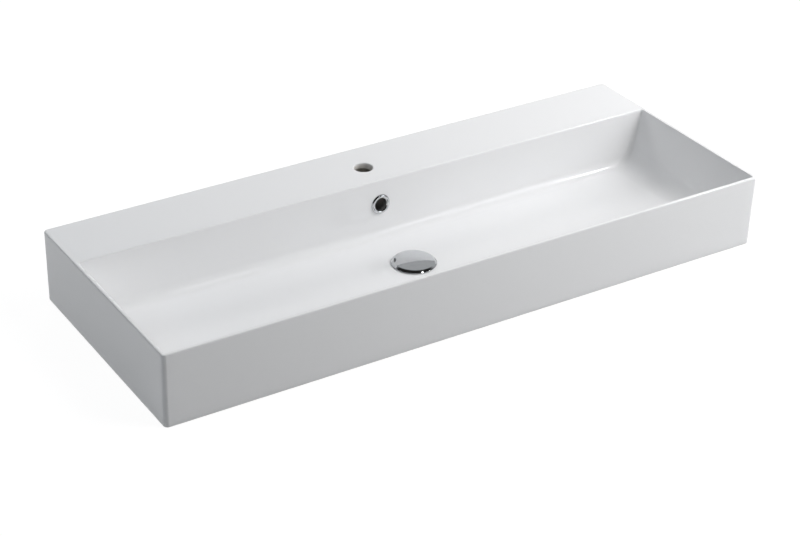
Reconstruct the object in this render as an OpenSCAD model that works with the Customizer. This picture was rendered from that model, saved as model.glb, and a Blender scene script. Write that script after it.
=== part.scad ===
// Countertop basin with a tap deck, an overflow and a click-clack waste.
// Origin: centre of the plane on which the basin stands. Front is -Y, up is +Z.

/* [Basin] */
// Width across the front
basin_w = 1200; // [900:10:1400]
// Depth from the front face to the rear face
basin_d = 460; // [420:5:520]
// Height from the countertop to the rim
basin_h = 136; // [120:1:170]
// Depth of the tap deck, from the bowl to the rear face
deck_d = 132; // [120:1:150]
// Width of the rim at the front and the sides
rim_w = 6.5; // [5:0.5:12]
// Radius of the four upright corners
corner_r = 8; // [5:0.5:20]
// Radius of the outer top edge
edge_r = 2.5; // [1:0.5:4]
// Thickness of the bowl wall and floor
bowl_wall = 9; // [7:0.5:14]
// Thickness of the outer skirt at its foot
skirt_wall = 11; // [8:0.5:14]
// Thickness of the tap deck
deck_wall = 12; // [9:0.5:16]

/* [Bowl] */
// Lean of the left and right bowl walls from upright, in degrees
side_lean = 16.5; // [8:0.5:22]
// Lean of the front and back bowl walls from upright, in degrees
end_lean = 3.5; // [1:0.5:6]
// Fall of the bowl floor towards the waste, in degrees
floor_fall = 0.5; // [0.2:0.1:1]
// Height of the bowl floor at the waste
floor_h = 24; // [22:0.5:30]
// Radius between the floor and the left and right walls
side_fillet_r = 48; // [20:1:60]
// Radius between the floor and the front and back walls
end_fillet_r = 20; // [10:1:30]
// Distance from the front face to the centre of the waste
waste_setback = 209; // [180:1:225]

/* [Tap hole] */
// Diameter of the tap hole
tap_bore = 35; // [32:0.5:36]
// Distance from the rear face to the centre of the tap hole
tap_setback = 73.5; // [62:0.5:80]
// Radius of the glazed edge round the tap hole
tap_edge_r = 2; // [1:0.5:3]

/* [Wall fixing] */
// Diameter of each fixing hole in the rear wall
fixing_bore = 13; // [10:0.5:18]
// Distance between the two fixing holes
fixing_pitch = 280; // [200:10:400]
// Height of the fixing holes above the countertop
fixing_h = 88; // [70:1:100]

/* [Overflow] */
// Height of the centre of the overflow above the countertop
overflow_h = 89; // [84:1:95]
// Diameter of the hole in the casting
overflow_bore = 28; // [24:0.5:30]
// Width of the overflow channel inside the casting
channel_w = 44; // [36:1:60]
// Depth of the upright overflow channel
channel_d = 12; // [10:0.5:13]
// Height of the overflow channel under the floor
channel_h = 8; // [7:0.5:9]
// Thickness of casting round the overflow channel
channel_skin = 7; // [5:0.5:7]
// Outer diameter of the chromed ring
ring_od = 38; // [34:0.5:42]
// Diameter of the hole through the ring
ring_bore = 23.6; // [20:0.2:24]
// How far the ring stands off the wall
ring_proud = 3.5; // [2:0.5:5]
// Wall of the ring's spigot
spigot_wall = 1; // [0.8:0.1:1.2]
// Length of the ring's spigot
spigot_l = 7; // [5:0.5:8]

/* [Waste] */
// Diameter of the waste hole in the casting
waste_bore = 46; // [45:0.5:48]
// Outer diameter of the threaded shank, a one and a quarter inch pipe thread
shank_d = 41.9; // [38:0.1:42]
// Bore of the shank
shank_bore = 36; // [32:0.5:36]
// Length of the shank below the flange
shank_l = 78; // [72:1:90]
// Diameter of the waste flange
flange_d = 65; // [60:0.5:68]
// Thickness of the waste flange
flange_t = 2; // [1.5:0.1:3]
// Depth of the conical seat in the mouth of the waste
seat_depth = 4; // [3:0.1:4]
// Depth of the recess that the flange lies in
recess_depth = 2.5; // [1.5:0.1:3]
// Thickness of the rubber ring under the flange
flange_seal_t = 1.5; // [1:0.1:2]
// Width of an overflow slot in the shank
slot_w = 22; // [14:1:24]
// Height of the rubber cone under the casting
cone_h = 7; // [5:0.5:10]
// Outer diameter of the rubber cone and its washer
cone_d = 60; // [56:1:70]
// Thickness of the slip washer
washer_t = 1.5; // [1:0.1:2]
// Distance across the flats of the back nut
nut_flats = 56; // [52:1:62]
// Height of the back nut
nut_h = 9; // [7:0.5:12]
// Length of the outlet thread at the foot of the shank
outlet_l = 30; // [20:1:32]
// Width of the run-out groove above the outlet thread
groove_w = 4; // [3:0.5:5]
// Depth of the run-out groove
groove_depth = 0.8; // [0.5:0.1:1]
// Height of the spider that carries the cartridge
spider_h = 8; // [6:0.5:10]
// Thickness of a spoke of the spider
spoke_t = 3; // [2:0.5:4]

/* [Plug] */
// Diameter of the plug cap
cap_d = 82; // [74:1:86]
// Radius of the rounded rim of the cap
cap_rim_r = 2; // [1.6:0.1:2.5]
// Rise of the domed top above its rim
cap_rise = 3; // [2:0.5:4]
// Thickness of the cap's metal
cap_wall = 1.8; // [1.4:0.1:2]
// Gap between the closed cap's rim and the floor beside it
cap_gap = 1.6; // [1.5:0.1:3]
// Lift of the open plug above the closed plug
plug_travel = 9; // [7:0.5:10]
// Further press below the closed plug that trips the latch
press_travel = 1; // [0.5:0.1:1.2]
// Thickness of the rubber plug seal
plug_seal_t = 3; // [2:0.5:4]
// Thickness of the disc that carries the seal
carrier_t = 2; // [1.5:0.5:3]
// Diameter of the threaded stem
stem_d = 6; // [5:0.5:7]
// Height of the nut on the stem
locknut_h = 4; // [3:0.5:5]

/* [Cartridge] */
// Outer diameter of the cartridge housing
housing_d = 16; // [15:0.5:18]
// Bore of the cartridge housing
housing_bore = 12.8; // [12:0.1:13]
// Diameter of the plunger's shaft
plunger_d = 9.5; // [9:0.1:10]
// Length of the plunger's toothed crown
crown_l = 5; // [4:0.5:6]
// Length of the latch rotor
rotor_l = 6; // [5:0.5:7]
// Length of the closed cartridge's spring
spring_l = 17; // [14:0.5:20]
// Diameter of the spring wire
wire_d = 1; // [0.8:0.1:1.2]
// Number of curls of the spring
spring_curls = 7; // [5:1:8]

/* [Hidden] */
$fn = 96;

// How far a cut runs past the face it opens
overrun = 5;
// Radial gap of a shaft that slides in a guide
slide_gap = 0.06;
// Radial gap of a loose part
loose_gap = 0.3;
// Gap that keeps moving faces apart at rest
rest_gap = 0.3;

// Steps of each round corner on the underside of the bowl
underside_steps = 10;

// Lines of the basin
half_w = basin_w / 2;
half_d = basin_d / 2;
bowl_front = rim_w - half_d;
bowl_back = half_d - deck_d;
bowl_side = half_w - rim_w;
waste_y = waste_setback - half_d;
tap_y = half_d - tap_setback;

// Heights at the waste: recess, seal and flange
recess_z = floor_h - recess_depth;
flange_z = recess_z + flange_seal_t;
flange_top = flange_z + flange_t;
recess_r = flange_d / 2 + loose_gap * 3;

// Heights of the overflow channel under the floor
channel_top = floor_h - channel_skin;
channel_z = channel_top - channel_h;
boss_z = channel_z - channel_skin;
boss_r = waste_bore / 2 + bowl_wall * 2;
duct_w = channel_w + channel_skin * 2;
duct_top = overflow_h + overflow_bore / 2 + channel_skin * 2;
channel_y = bowl_back + channel_skin;
channel_back = channel_y + channel_d;
duct_back = channel_back + channel_skin;

// The wall at the overflow leans back, so its face there is in front of the deck edge
overflow_y = bowl_back - (basin_h - overflow_h) * tan(end_lean);
sleeve_l = channel_y - overflow_y;

// Conical seat in the mouth of the waste, at forty-five degrees
tube_r = shank_bore / 2;
shank_r = shank_d / 2;
seat_r = tube_r + seat_depth;
shank_z = flange_z - shank_l;
groove_z = shank_z + outlet_l;
groove_r = shank_r - groove_depth;

// Spider and cartridge, from the top down
spider_drop = flange_seal_t * 2 + carrier_t + locknut_h;
spider_top = flange_z - seat_depth - spider_drop - plug_travel - press_travel;
boss_bore_r = housing_d / 2;
spider_boss_r = boss_bore_r + spoke_t;
collar_r = boss_bore_r + spoke_t * 0.8;
collar_h = locknut_h;
housing_top = spider_top + collar_h;
housing_roof = housing_top - spoke_t;
crown_top = housing_roof - plug_travel - rest_gap;
crown_z = crown_top - crown_l;
tooth_h = crown_l / 4;
rotor_top = crown_z - rest_gap;
rotor_z = rotor_top - rotor_l;
spring_z = rotor_z - spring_l;
end_cap_t = spoke_t;
housing_z = spring_z - end_cap_t;
plunger_r = plunger_d / 2;
crown_r = housing_bore / 2 - loose_gap / 2;
rotor_pin_r = plunger_r / 2;
spring_r = crown_r - wire_d;

// Plug, from the top down
cap_z = floor_h + (cap_d / 2) * tan(floor_fall) + cap_gap;
cap_shoulder = cap_z + cap_rim_r * 2;
cap_top = cap_shoulder + cap_rise;
dome_r = cap_d / 2 - cap_rim_r;
dome_ball_r = (dome_r * dome_r + cap_rise * cap_rise) / (2 * cap_rise);
seal_top = flange_top - rest_gap;
seal_z = seal_top - plug_seal_t;
seat_offset = rest_gap * sqrt(2);
hub_r = stem_d * 2;
shoulder_r = hub_r + plug_seal_t;
carrier_z = seal_z - carrier_t;
carrier_r = tube_r - carrier_t;
locknut_z = carrier_z - locknut_h;
stem_r = stem_d / 2;
stem_top = seal_top + plug_seal_t;
plunger_top = locknut_z - carrier_t;
stem_z = plunger_top - stem_d * 1.5;

// Radius of the conical seat at a height
function seat_at(z) = seat_r - (flange_top - z);

// Neck that backs the seat under the flange
neck_r = seat_at(flange_z) + flange_t;
neck_z = flange_top - seat_depth;

// Where the floor line of a tray section meets its leaning wall. run is the distance from the low
// point of the floor to the rim, top the height of the rim.
function corner_z(run, top, low, lean) =
    (low + tan(floor_fall) * (run - top * tan(lean))) / (1 - tan(floor_fall) * tan(lean));
function corner_x(run, top, low, lean) = run - (top - corner_z(run, top, low, lean)) * tan(lean);
function tangent_l(r, lean) = r / tan((90 + lean + floor_fall) / 2);

// Half of a tray section, grown outward by a wall. The corner between floor and wall is a true arc
// where smooth is true, and steps along the same arc where it isn't.
module tray_half(run, lean, fillet_r, grow, smooth) {
    r = fillet_r + grow;
    reach = run + grow / cos(lean);
    low = floor_h - grow;
    t = tangent_l(r, lean);
    floor_end = [
        corner_x(reach, basin_h, low, lean) - t * cos(floor_fall),
        corner_z(reach, basin_h, low, lean) - t * sin(floor_fall)
    ];
    centre = floor_end + r * [-sin(floor_fall), cos(floor_fall)];
    steps = smooth ? 1 : underside_steps;
    sweep = 90 - lean - floor_fall;
    corner = [
        for (i = [0 : steps])
            let (a = floor_fall - 90 + sweep * i / steps)
            centre + r * [cos(a), sin(a)]
    ];
    polygon(concat(
        [[0, low]],
        corner,
        [
            [reach, basin_h],
            [reach + overrun * tan(lean), basin_h + overrun],
            [0, basin_h + overrun]
        ]
    ));
    if (smooth)
        translate(centre)
            circle(r = r, $fn = 128);
}

// Section of the bowl across X
module side_section(grow, smooth) {
    for (side = [0, 1])
        mirror([side, 0])
            tray_half(bowl_side, side_lean, side_fillet_r, grow, smooth);
}

// Section of the bowl across Y
module end_section(grow, smooth) {
    translate([waste_y, 0]) {
        tray_half(bowl_back - waste_y, end_lean, end_fillet_r, grow, smooth);
        mirror([1, 0])
            tray_half(waste_y - bowl_front, end_lean, end_fillet_r, grow, smooth);
    }
}

// What both sections have in common: the bowl, or the outside of its casting where it is grown
module bowl_space(grow, smooth) {
    intersection() {
        translate([0, basin_d, 0])
            rotate([90, 0, 0])
                linear_extrude(height = basin_d * 2)
                    side_section(grow, smooth);
        translate([-basin_w, 0, 0])
            rotate([90, 0, 90])
                linear_extrude(height = basin_w * 2)
                    end_section(grow, smooth);
    }
}

// Half the section of a round-cornered post with a rounded top edge
module post_half() {
    square([corner_r - edge_r, basin_h]);
    square([corner_r, basin_h - edge_r]);
    translate([corner_r - edge_r, basin_h - edge_r])
        circle(r = edge_r, $fn = 48);
}

// Section of a bar with both top edges rounded
module bar_section(w) {
    translate([edge_r - w / 2, 0])
        square([w - edge_r * 2, basin_h]);
    translate([-w / 2, 0])
        square([w, basin_h - edge_r]);
    for (side = [-1, 1])
        translate([side * (w / 2 - edge_r), basin_h - edge_r])
            circle(r = edge_r, $fn = 48);
}

// Outer block of the basin
module outer_block() {
    for (x = [-1, 1], y = [-1, 1])
        translate([x * (half_w - corner_r), y * (half_d - corner_r), 0])
            rotate_extrude($fn = 64)
                intersection() {
                    post_half();
                    square([corner_r, basin_h]);
                }
    translate([0, half_d - corner_r, 0])
        rotate([90, 0, 0])
            linear_extrude(height = basin_d - corner_r * 2)
                bar_section(basin_w);
    translate([corner_r - half_w, 0, 0])
        rotate([90, 0, 90])
            linear_extrude(height = basin_w - corner_r * 2)
                bar_section(basin_d);
}

// Solid casting round the overflow channel and the waste hole
module duct_casting() {
    translate([0, waste_y, boss_z])
        cylinder(r = boss_r, h = floor_h);
    translate([-duct_w / 2, waste_y, boss_z])
        cube([duct_w, duct_back - waste_y, floor_h]);
    translate([-duct_w / 2, bowl_back - bowl_wall, boss_z])
        cube([duct_w, duct_back - bowl_back + bowl_wall, duct_top - boss_z]);
}

// Space under the bowl and the deck, open to the countertop
module under_space() {
    difference() {
        translate([skirt_wall - half_w, skirt_wall - half_d, -overrun])
            cube([
                basin_w - skirt_wall * 2,
                basin_d - skirt_wall * 2,
                basin_h - deck_wall + overrun
            ]);
        bowl_space(bowl_wall, false);
        duct_casting();
    }
}

// Water channel from the overflow hole down and forward to the waste hole
module overflow_channel() {
    translate([-channel_w / 2, channel_y, channel_z])
        cube([channel_w, channel_d, duct_top - channel_skin - channel_z]);
    translate([-channel_w / 2, waste_y, channel_z])
        cube([channel_w, channel_back - waste_y, channel_h]);
}

// Overflow parts are drawn along +Z and laid on the leaning wall, facing the bowl
module at_overflow() {
    translate([0, overflow_y, overflow_h])
        rotate([90 - end_lean, 0, 0])
            children();
}

module tap_hole() {
    translate([0, tap_y, basin_h - deck_wall - overrun])
        cylinder(d = tap_bore, h = deck_wall + overrun * 2);
    translate([0, tap_y, basin_h])
        rotate_extrude()
            difference() {
                translate([0, -tap_edge_r])
                    square([tap_bore / 2 + tap_edge_r, tap_edge_r * 2]);
                translate([tap_bore / 2 + tap_edge_r, -tap_edge_r])
                    circle(r = tap_edge_r, $fn = 48);
            }
}

module waste_hole() {
    translate([0, waste_y, boss_z - overrun])
        cylinder(d = waste_bore, h = floor_h + overrun);
    translate([0, waste_y, recess_z])
        cylinder(r = recess_r, h = floor_h);
}

module fixing_holes() {
    for (side = [-1, 1])
        translate([side * fixing_pitch / 2, half_d + overrun, fixing_h])
            rotate([90, 0, 0])
                cylinder(d = fixing_bore, h = skirt_wall + overrun * 2);
}

module basin_body() {
    color("whitesmoke")
        difference() {
            outer_block();
            bowl_space(0, true);
            under_space();
            overflow_channel();
            at_overflow()
                translate([0, 0, -sleeve_l - overrun])
                    cylinder(d = overflow_bore, h = sleeve_l + overrun * 2);
            tap_hole();
            waste_hole();
            fixing_holes();
        }
}

// Chromed ring: a rounded face on the wall and a spigot into the hole
module overflow_ring() {
    band = (ring_od - ring_bore) / 2;
    color("silver")
        at_overflow()
            rotate_extrude()
                translate([ring_bore / 2, 0]) {
                    intersection() {
                        square([band, ring_proud]);
                        translate([band / 2, 0])
                            scale([band / 2 / ring_proud, 1])
                                circle(r = ring_proud);
                    }
                    translate([0, -spigot_l])
                        square([spigot_wall, spigot_l]);
                    square([spigot_wall, ring_proud / 2]);
                }
}

// Rubber sleeve that grips the spigot in the hole
module overflow_sleeve() {
    spigot_r = ring_bore / 2 + spigot_wall;
    color("dimgray")
        at_overflow()
            rotate_extrude()
                translate([spigot_r, -spigot_l])
                    square([overflow_bore / 2 - spigot_r, spigot_l]);
}

// Shapes round the waste are drawn about their own axis and placed here
module at_waste(z) {
    translate([0, waste_y, z])
        children();
}

module overflow_slots() {
    for (turn = [0, 90])
        rotate([0, 0, turn])
            translate([-slot_w / 2, -shank_d, channel_z])
                cube([slot_w, shank_d * 2, channel_h]);
}

module spider() {
    intersection() {
        cylinder(r = (tube_r + shank_r) / 2, h = spider_h);
        union() {
            cylinder(r = spider_boss_r, h = spider_h);
            for (turn = [45, 135])
                rotate([0, 0, turn])
                    translate([-shank_d, -spoke_t / 2, 0])
                        cube([shank_d * 2, spoke_t, spider_h]);
        }
    }
}

module waste_body() {
    color("silver")
        at_waste(0)
            difference() {
                union() {
                    difference() {
                        rotate_extrude()
                            polygon([
                                [tube_r, shank_z],
                                [shank_r, shank_z],
                                [shank_r, groove_z],
                                [groove_r, groove_z],
                                [groove_r, groove_z + groove_w],
                                [shank_r, groove_z + groove_w],
                                [shank_r, neck_z - neck_r + shank_r],
                                [neck_r, neck_z],
                                [neck_r, flange_z],
                                [flange_d / 2, flange_z],
                                [flange_d / 2 - flange_t / 2, flange_top],
                                [seat_r, flange_top],
                                [tube_r, neck_z]
                            ]);
                        overflow_slots();
                    }
                    translate([0, 0, spider_top - spider_h])
                        spider();
                }
                translate([0, 0, spider_top - spider_h - overrun])
                    cylinder(r = boss_bore_r, h = spider_h + overrun * 2);
            }
}

// Plain ring from an inner to an outer radius
module ring(inner_r, outer_r, h) {
    rotate_extrude()
        translate([inner_r, 0])
            square([outer_r - inner_r, h]);
}

module flange_seal() {
    color("black")
        at_waste(recess_z)
            ring(waste_bore / 2, flange_d / 2, flange_seal_t);
}

module cone_seal() {
    color("black")
        at_waste(boss_z - cone_h)
            rotate_extrude()
                polygon([
                    [shank_r, 0],
                    [cone_d / 2, 0],
                    [cone_d / 2, cone_h / 2],
                    [waste_bore / 2, cone_h],
                    [waste_bore / 2 - slide_gap, cone_h],
                    [waste_bore / 2 - slide_gap, cone_h + washer_t],
                    [shank_r, cone_h + washer_t]
                ]);
}

module slip_washer() {
    color("white")
        at_waste(boss_z - cone_h - washer_t)
            ring(shank_r, cone_d / 2, washer_t);
}

// Hexagonal nut with chamfered corners and a bore
module hex_nut(flats, bore_r, h) {
    corner = flats / 2 / cos(30);
    difference() {
        intersection() {
            cylinder(r = corner, h = h, $fn = 6);
            rotate_extrude()
                polygon([
                    [0, 0],
                    [flats / 2, 0],
                    [corner, (corner - flats / 2) / 2],
                    [corner, h - (corner - flats / 2) / 2],
                    [flats / 2, h],
                    [0, h]
                ]);
        }
        translate([0, 0, -overrun])
            cylinder(r = bore_r, h = h + overrun * 2);
    }
}

module back_nut() {
    color("goldenrod")
        at_waste(boss_z - cone_h - washer_t - nut_h)
            hex_nut(nut_flats, shank_r, nut_h);
}

// Section of the cap's shell, domed above and hollow below
module cap_section() {
    ball_z = cap_top - dome_ball_r;
    intersection() {
        difference() {
            translate([0, ball_z])
                circle(r = dome_ball_r, $fn = 360);
            translate([0, ball_z])
                circle(r = dome_ball_r - cap_wall, $fn = 360);
        }
        translate([0, cap_shoulder - cap_wall - cap_rim_r])
            square([dome_r, cap_top]);
    }
    translate([dome_r, cap_z + cap_rim_r])
        circle(r = cap_rim_r, $fn = 48);
}

module plug_cap() {
    color("silver")
        at_waste(0)
            difference() {
                union() {
                    rotate_extrude()
                        cap_section();
                    translate([0, 0, seal_z])
                        cylinder(r = hub_r, h = cap_top - cap_wall - seal_z);
                    translate([0, 0, seal_top])
                        cylinder(r = shoulder_r, h = cap_top - cap_wall * 2 - seal_top);
                }
                translate([0, 0, seal_z - overrun])
                    cylinder(r = stem_r, h = stem_top - seal_z + overrun);
            }
}

module plug_seal() {
    color("black")
        at_waste(0)
            rotate_extrude()
                polygon([
                    [hub_r, seal_z],
                    [seat_at(seal_z) - seat_offset, seal_z],
                    [seat_at(seal_top) - seat_offset, seal_top],
                    [hub_r, seal_top]
                ]);
}

module seal_carrier() {
    color("white")
        at_waste(carrier_z)
            ring(stem_r, carrier_r, carrier_t);
}

module stem_locknut() {
    color("goldenrod")
        at_waste(locknut_z)
            hex_nut(stem_d * 1.7, stem_r, locknut_h);
}

module plug_stem() {
    color("goldenrod")
        at_waste(stem_z)
            cylinder(r = stem_r, h = stem_top - stem_z);
}

module click_housing() {
    color("white")
        at_waste(0)
            difference() {
                union() {
                    translate([0, 0, housing_z])
                        cylinder(d = housing_d, h = spider_top - housing_z);
                    translate([0, 0, spider_top])
                        cylinder(r = collar_r, h = collar_h);
                }
                translate([0, 0, housing_z - overrun])
                    cylinder(d = housing_bore, h = housing_roof - housing_z + overrun);
                translate([0, 0, housing_roof - overrun])
                    cylinder(r = plunger_r + slide_gap, h = spoke_t + overrun * 2);
            }
}

module housing_locknut() {
    color("goldenrod")
        at_waste(spider_top - spider_h - locknut_h)
            hex_nut(housing_d * 1.4, housing_d / 2, locknut_h);
}

// Screwed-in cap that closes the cartridge and drains through a small hole
module click_end_cap() {
    color("white")
        at_waste(housing_z)
            ring(rotor_pin_r, housing_bore / 2, end_cap_t);
}

// Wedge-shaped notches between the teeth of the crown
module tooth_gaps() {
    for (turn = [0 : 45 : 315])
        rotate([0, 0, turn])
            rotate([90, 0, 0])
                linear_extrude(height = crown_r * 2)
                    polygon([
                        [-tooth_h, -overrun],
                        [-tooth_h, 0],
                        [0, tooth_h],
                        [tooth_h, 0],
                        [tooth_h, -overrun]
                    ]);
}

module click_plunger() {
    color("white")
        at_waste(crown_z)
            difference() {
                union() {
                    difference() {
                        cylinder(r = crown_r, h = crown_l);
                        tooth_gaps();
                    }
                    cylinder(r = plunger_r, h = plunger_top - crown_z);
                }
                translate([0, 0, stem_z - crown_z])
                    cylinder(r = stem_r, h = plunger_top - stem_z + overrun);
                translate([0, 0, -overrun])
                    cylinder(r = rotor_pin_r + slide_gap, h = crown_l + overrun);
            }
}

// Latch rotor: a disc with a pin that turns in the plunger, and four slanting ribs
module click_rotor() {
    color("gold")
        at_waste(rotor_z) {
            difference() {
                cylinder(r = crown_r, h = rotor_l);
                for (turn = [0 : 90 : 270])
                    rotate([0, 0, turn])
                        translate([plunger_r, 0, rotor_l - tooth_h])
                            rotate([45, 0, 0])
                                cube([crown_r, tooth_h * 2, tooth_h * 2]);
            }
            cylinder(r = rotor_pin_r, h = rotor_l + crown_l - rest_gap);
        }
}

// Centre line of the spring: a helix whose ends stand straight for one wire
spring_rings = 8;
spring_steps = spring_curls * spring_rings;
function coil_point(i) =
    let (turn = 360 * i / spring_rings)
    let (rise = (spring_l - wire_d * 2) * i / spring_steps)
    [spring_r * cos(turn), spring_r * sin(turn), wire_d + rise];
coil_path = concat(
    [[spring_r, 0, 0]],
    [for (i = [0 : spring_steps]) coil_point(i)],
    [[coil_point(spring_steps).x, coil_point(spring_steps).y, spring_l]]
);
coil_count = len(coil_path);

function unit(v) = v / norm(v);
function coil_heading(i) =
    i == 0 || i == coil_count - 1
        ? [0, 0, 1]
        : unit(coil_path[i + 1] - coil_path[i - 1]);
function coil_ring(i) =
    let (ahead = coil_heading(i))
    let (outward = unit([coil_path[i].x, coil_path[i].y, 0]))
    let (side = unit(cross(ahead, outward)))
    let (up = cross(side, ahead))
    [for (a = [0 : 60 : 300]) coil_path[i] + wire_d / 2 * (cos(a) * up + sin(a) * side)];

spring_gap = min([
    for (i = [0 : coil_count - 1])
        for (j = [i + spring_rings - 2 : 1 : coil_count - 1])
            norm(coil_path[i] - coil_path[j])
]) - wire_d;
echo(least_spring_gap = spring_gap);

module click_spring() {
    sides = 6;
    last = (coil_count - 1) * sides;
    points = [for (i = [0 : coil_count - 1]) each coil_ring(i)];
    skin = [
        for (i = [0 : coil_count - 2])
            for (k = [0 : sides - 1])
                let (a = i * sides + k)
                let (b = i * sides + (k + 1) % sides)
                each [[a, a + sides, b], [b, a + sides, b + sides]]
    ];
    ends = [
        for (k = [1 : sides - 2])
            each [[0, k, k + 1], [last, last + k + 1, last + k]]
    ];
    color("darkgray")
        at_waste(spring_z)
            polyhedron(points = points, faces = concat(skin, ends));
}

basin_body();
overflow_ring();
overflow_sleeve();
waste_body();
flange_seal();
cone_seal();
slip_washer();
back_nut();
plug_cap();
plug_seal();
seal_carrier();
plug_stem();
stem_locknut();
click_housing();
housing_locknut();
click_end_cap();
click_plunger();
click_rotor();
click_spring();
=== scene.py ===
"""Looks of a countertop basin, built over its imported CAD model.

The casting is one sewn skin of numpy surfaces: rings that climb the outside, cross the rim and the tap deck and
run down into the bowl, a height field for the hollow underside, and bored holes sewn between the two. The metal,
rubber and plastic fittings are turned, threaded or wound surfaces. Lengths here are millimetres until a piece is
made, and then metres.
"""

import logging
import math
from dataclasses import dataclass, field
from enum import Enum
from typing import Any, Mapping, Sequence

import bmesh
import bpy
import numpy as np
from mathutils import Matrix, Vector


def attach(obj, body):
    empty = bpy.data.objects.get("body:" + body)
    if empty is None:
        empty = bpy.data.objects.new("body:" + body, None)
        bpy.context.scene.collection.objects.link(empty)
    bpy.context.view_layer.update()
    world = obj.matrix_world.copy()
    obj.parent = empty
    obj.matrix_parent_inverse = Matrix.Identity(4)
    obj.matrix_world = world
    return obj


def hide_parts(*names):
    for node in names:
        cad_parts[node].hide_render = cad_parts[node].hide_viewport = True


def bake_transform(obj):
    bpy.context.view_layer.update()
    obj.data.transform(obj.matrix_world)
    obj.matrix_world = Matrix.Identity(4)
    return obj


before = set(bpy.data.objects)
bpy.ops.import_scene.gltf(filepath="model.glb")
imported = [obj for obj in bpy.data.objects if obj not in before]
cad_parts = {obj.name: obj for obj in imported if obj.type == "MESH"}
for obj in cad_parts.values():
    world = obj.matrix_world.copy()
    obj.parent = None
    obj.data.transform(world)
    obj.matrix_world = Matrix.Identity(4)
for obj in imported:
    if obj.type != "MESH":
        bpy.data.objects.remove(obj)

log = logging.getLogger("basin")
Array = np.ndarray
Colour = tuple[float, float, float, float]
Point = tuple[float, float, float]
MM = 0.001
BASIN = "basin"
PLUG = "plug"

# Counts of the casting's rings and grid lines.
RUN_END = 8  # stations between a long run's last line and the corner
EDGE_STEPS = 6  # rings of the round on the outer edge
LEAD = 4  # rings that come before the block round the tap hole or the overflow hole
HOLE_LINES = 17  # lines across that block
FIXING_LINES = 9  # lines across the block round a fixing hole
WASTE_LINES = 13  # lines across the block round the waste hole on the underside, from front to back
MOUTH_LINES = 9  # lines across the block round the overflow hole on the underside, from front to back


class Slot(Enum):
    """Material slots of the record that the pieces take their finish from."""

    CERAMIC = "ceramic"
    CHROME = "chrome"
    BRASS = "brass"
    RUBBER = "black_rubber"
    PLASTIC = "white_plastic"
    ACETAL = "acetal"
    SPRING = "spring_steel"


class Sock:
    """A shader socket that takes part in Python arithmetic."""

    def __init__(self, graph: "Graph", socket: Any) -> None:
        """Keeps the graph that the socket belongs to."""
        self.graph = graph
        self.socket = socket

    def _math(self, operation: str, *values: Any) -> "Sock":
        """Adds one Math node.

        Args:
            operation: the Math node's operation.
            values: its inputs, sockets or numbers.

        Returns:
            The node's result.
        """
        return self.graph.node("ShaderNodeMath", {"operation": operation}, dict(enumerate(values)))

    def __add__(self, other: Any) -> "Sock":
        """Sum."""
        return self._math("ADD", self, other)

    __radd__ = __add__

    def __sub__(self, other: Any) -> "Sock":
        """Difference."""
        return self._math("SUBTRACT", self, other)

    def __rsub__(self, other: Any) -> "Sock":
        """Difference, with the socket on the right."""
        return self._math("SUBTRACT", other, self)

    def __mul__(self, other: Any) -> "Sock":
        """Product."""
        return self._math("MULTIPLY", self, other)

    __rmul__ = __mul__

    def __truediv__(self, other: Any) -> "Sock":
        """Quotient."""
        return self._math("DIVIDE", self, other)

    def __rtruediv__(self, other: Any) -> "Sock":
        """Quotient, with the socket on the right."""
        return self._math("DIVIDE", other, self)

    def __pow__(self, other: Any) -> "Sock":
        """Power."""
        return self._math("POWER", self, other)

    def clamped(self) -> "Sock":
        """The value held between 0 and 1."""
        return self._math("MINIMUM", self._math("MAXIMUM", self, 0.0), 1.0)

    def ramp(self, low: float, high: float) -> "Sock":
        """A straight rise from 0 at low to 1 at high, held outside them."""
        return ((self - low) / (high - low)).clamped()


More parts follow.
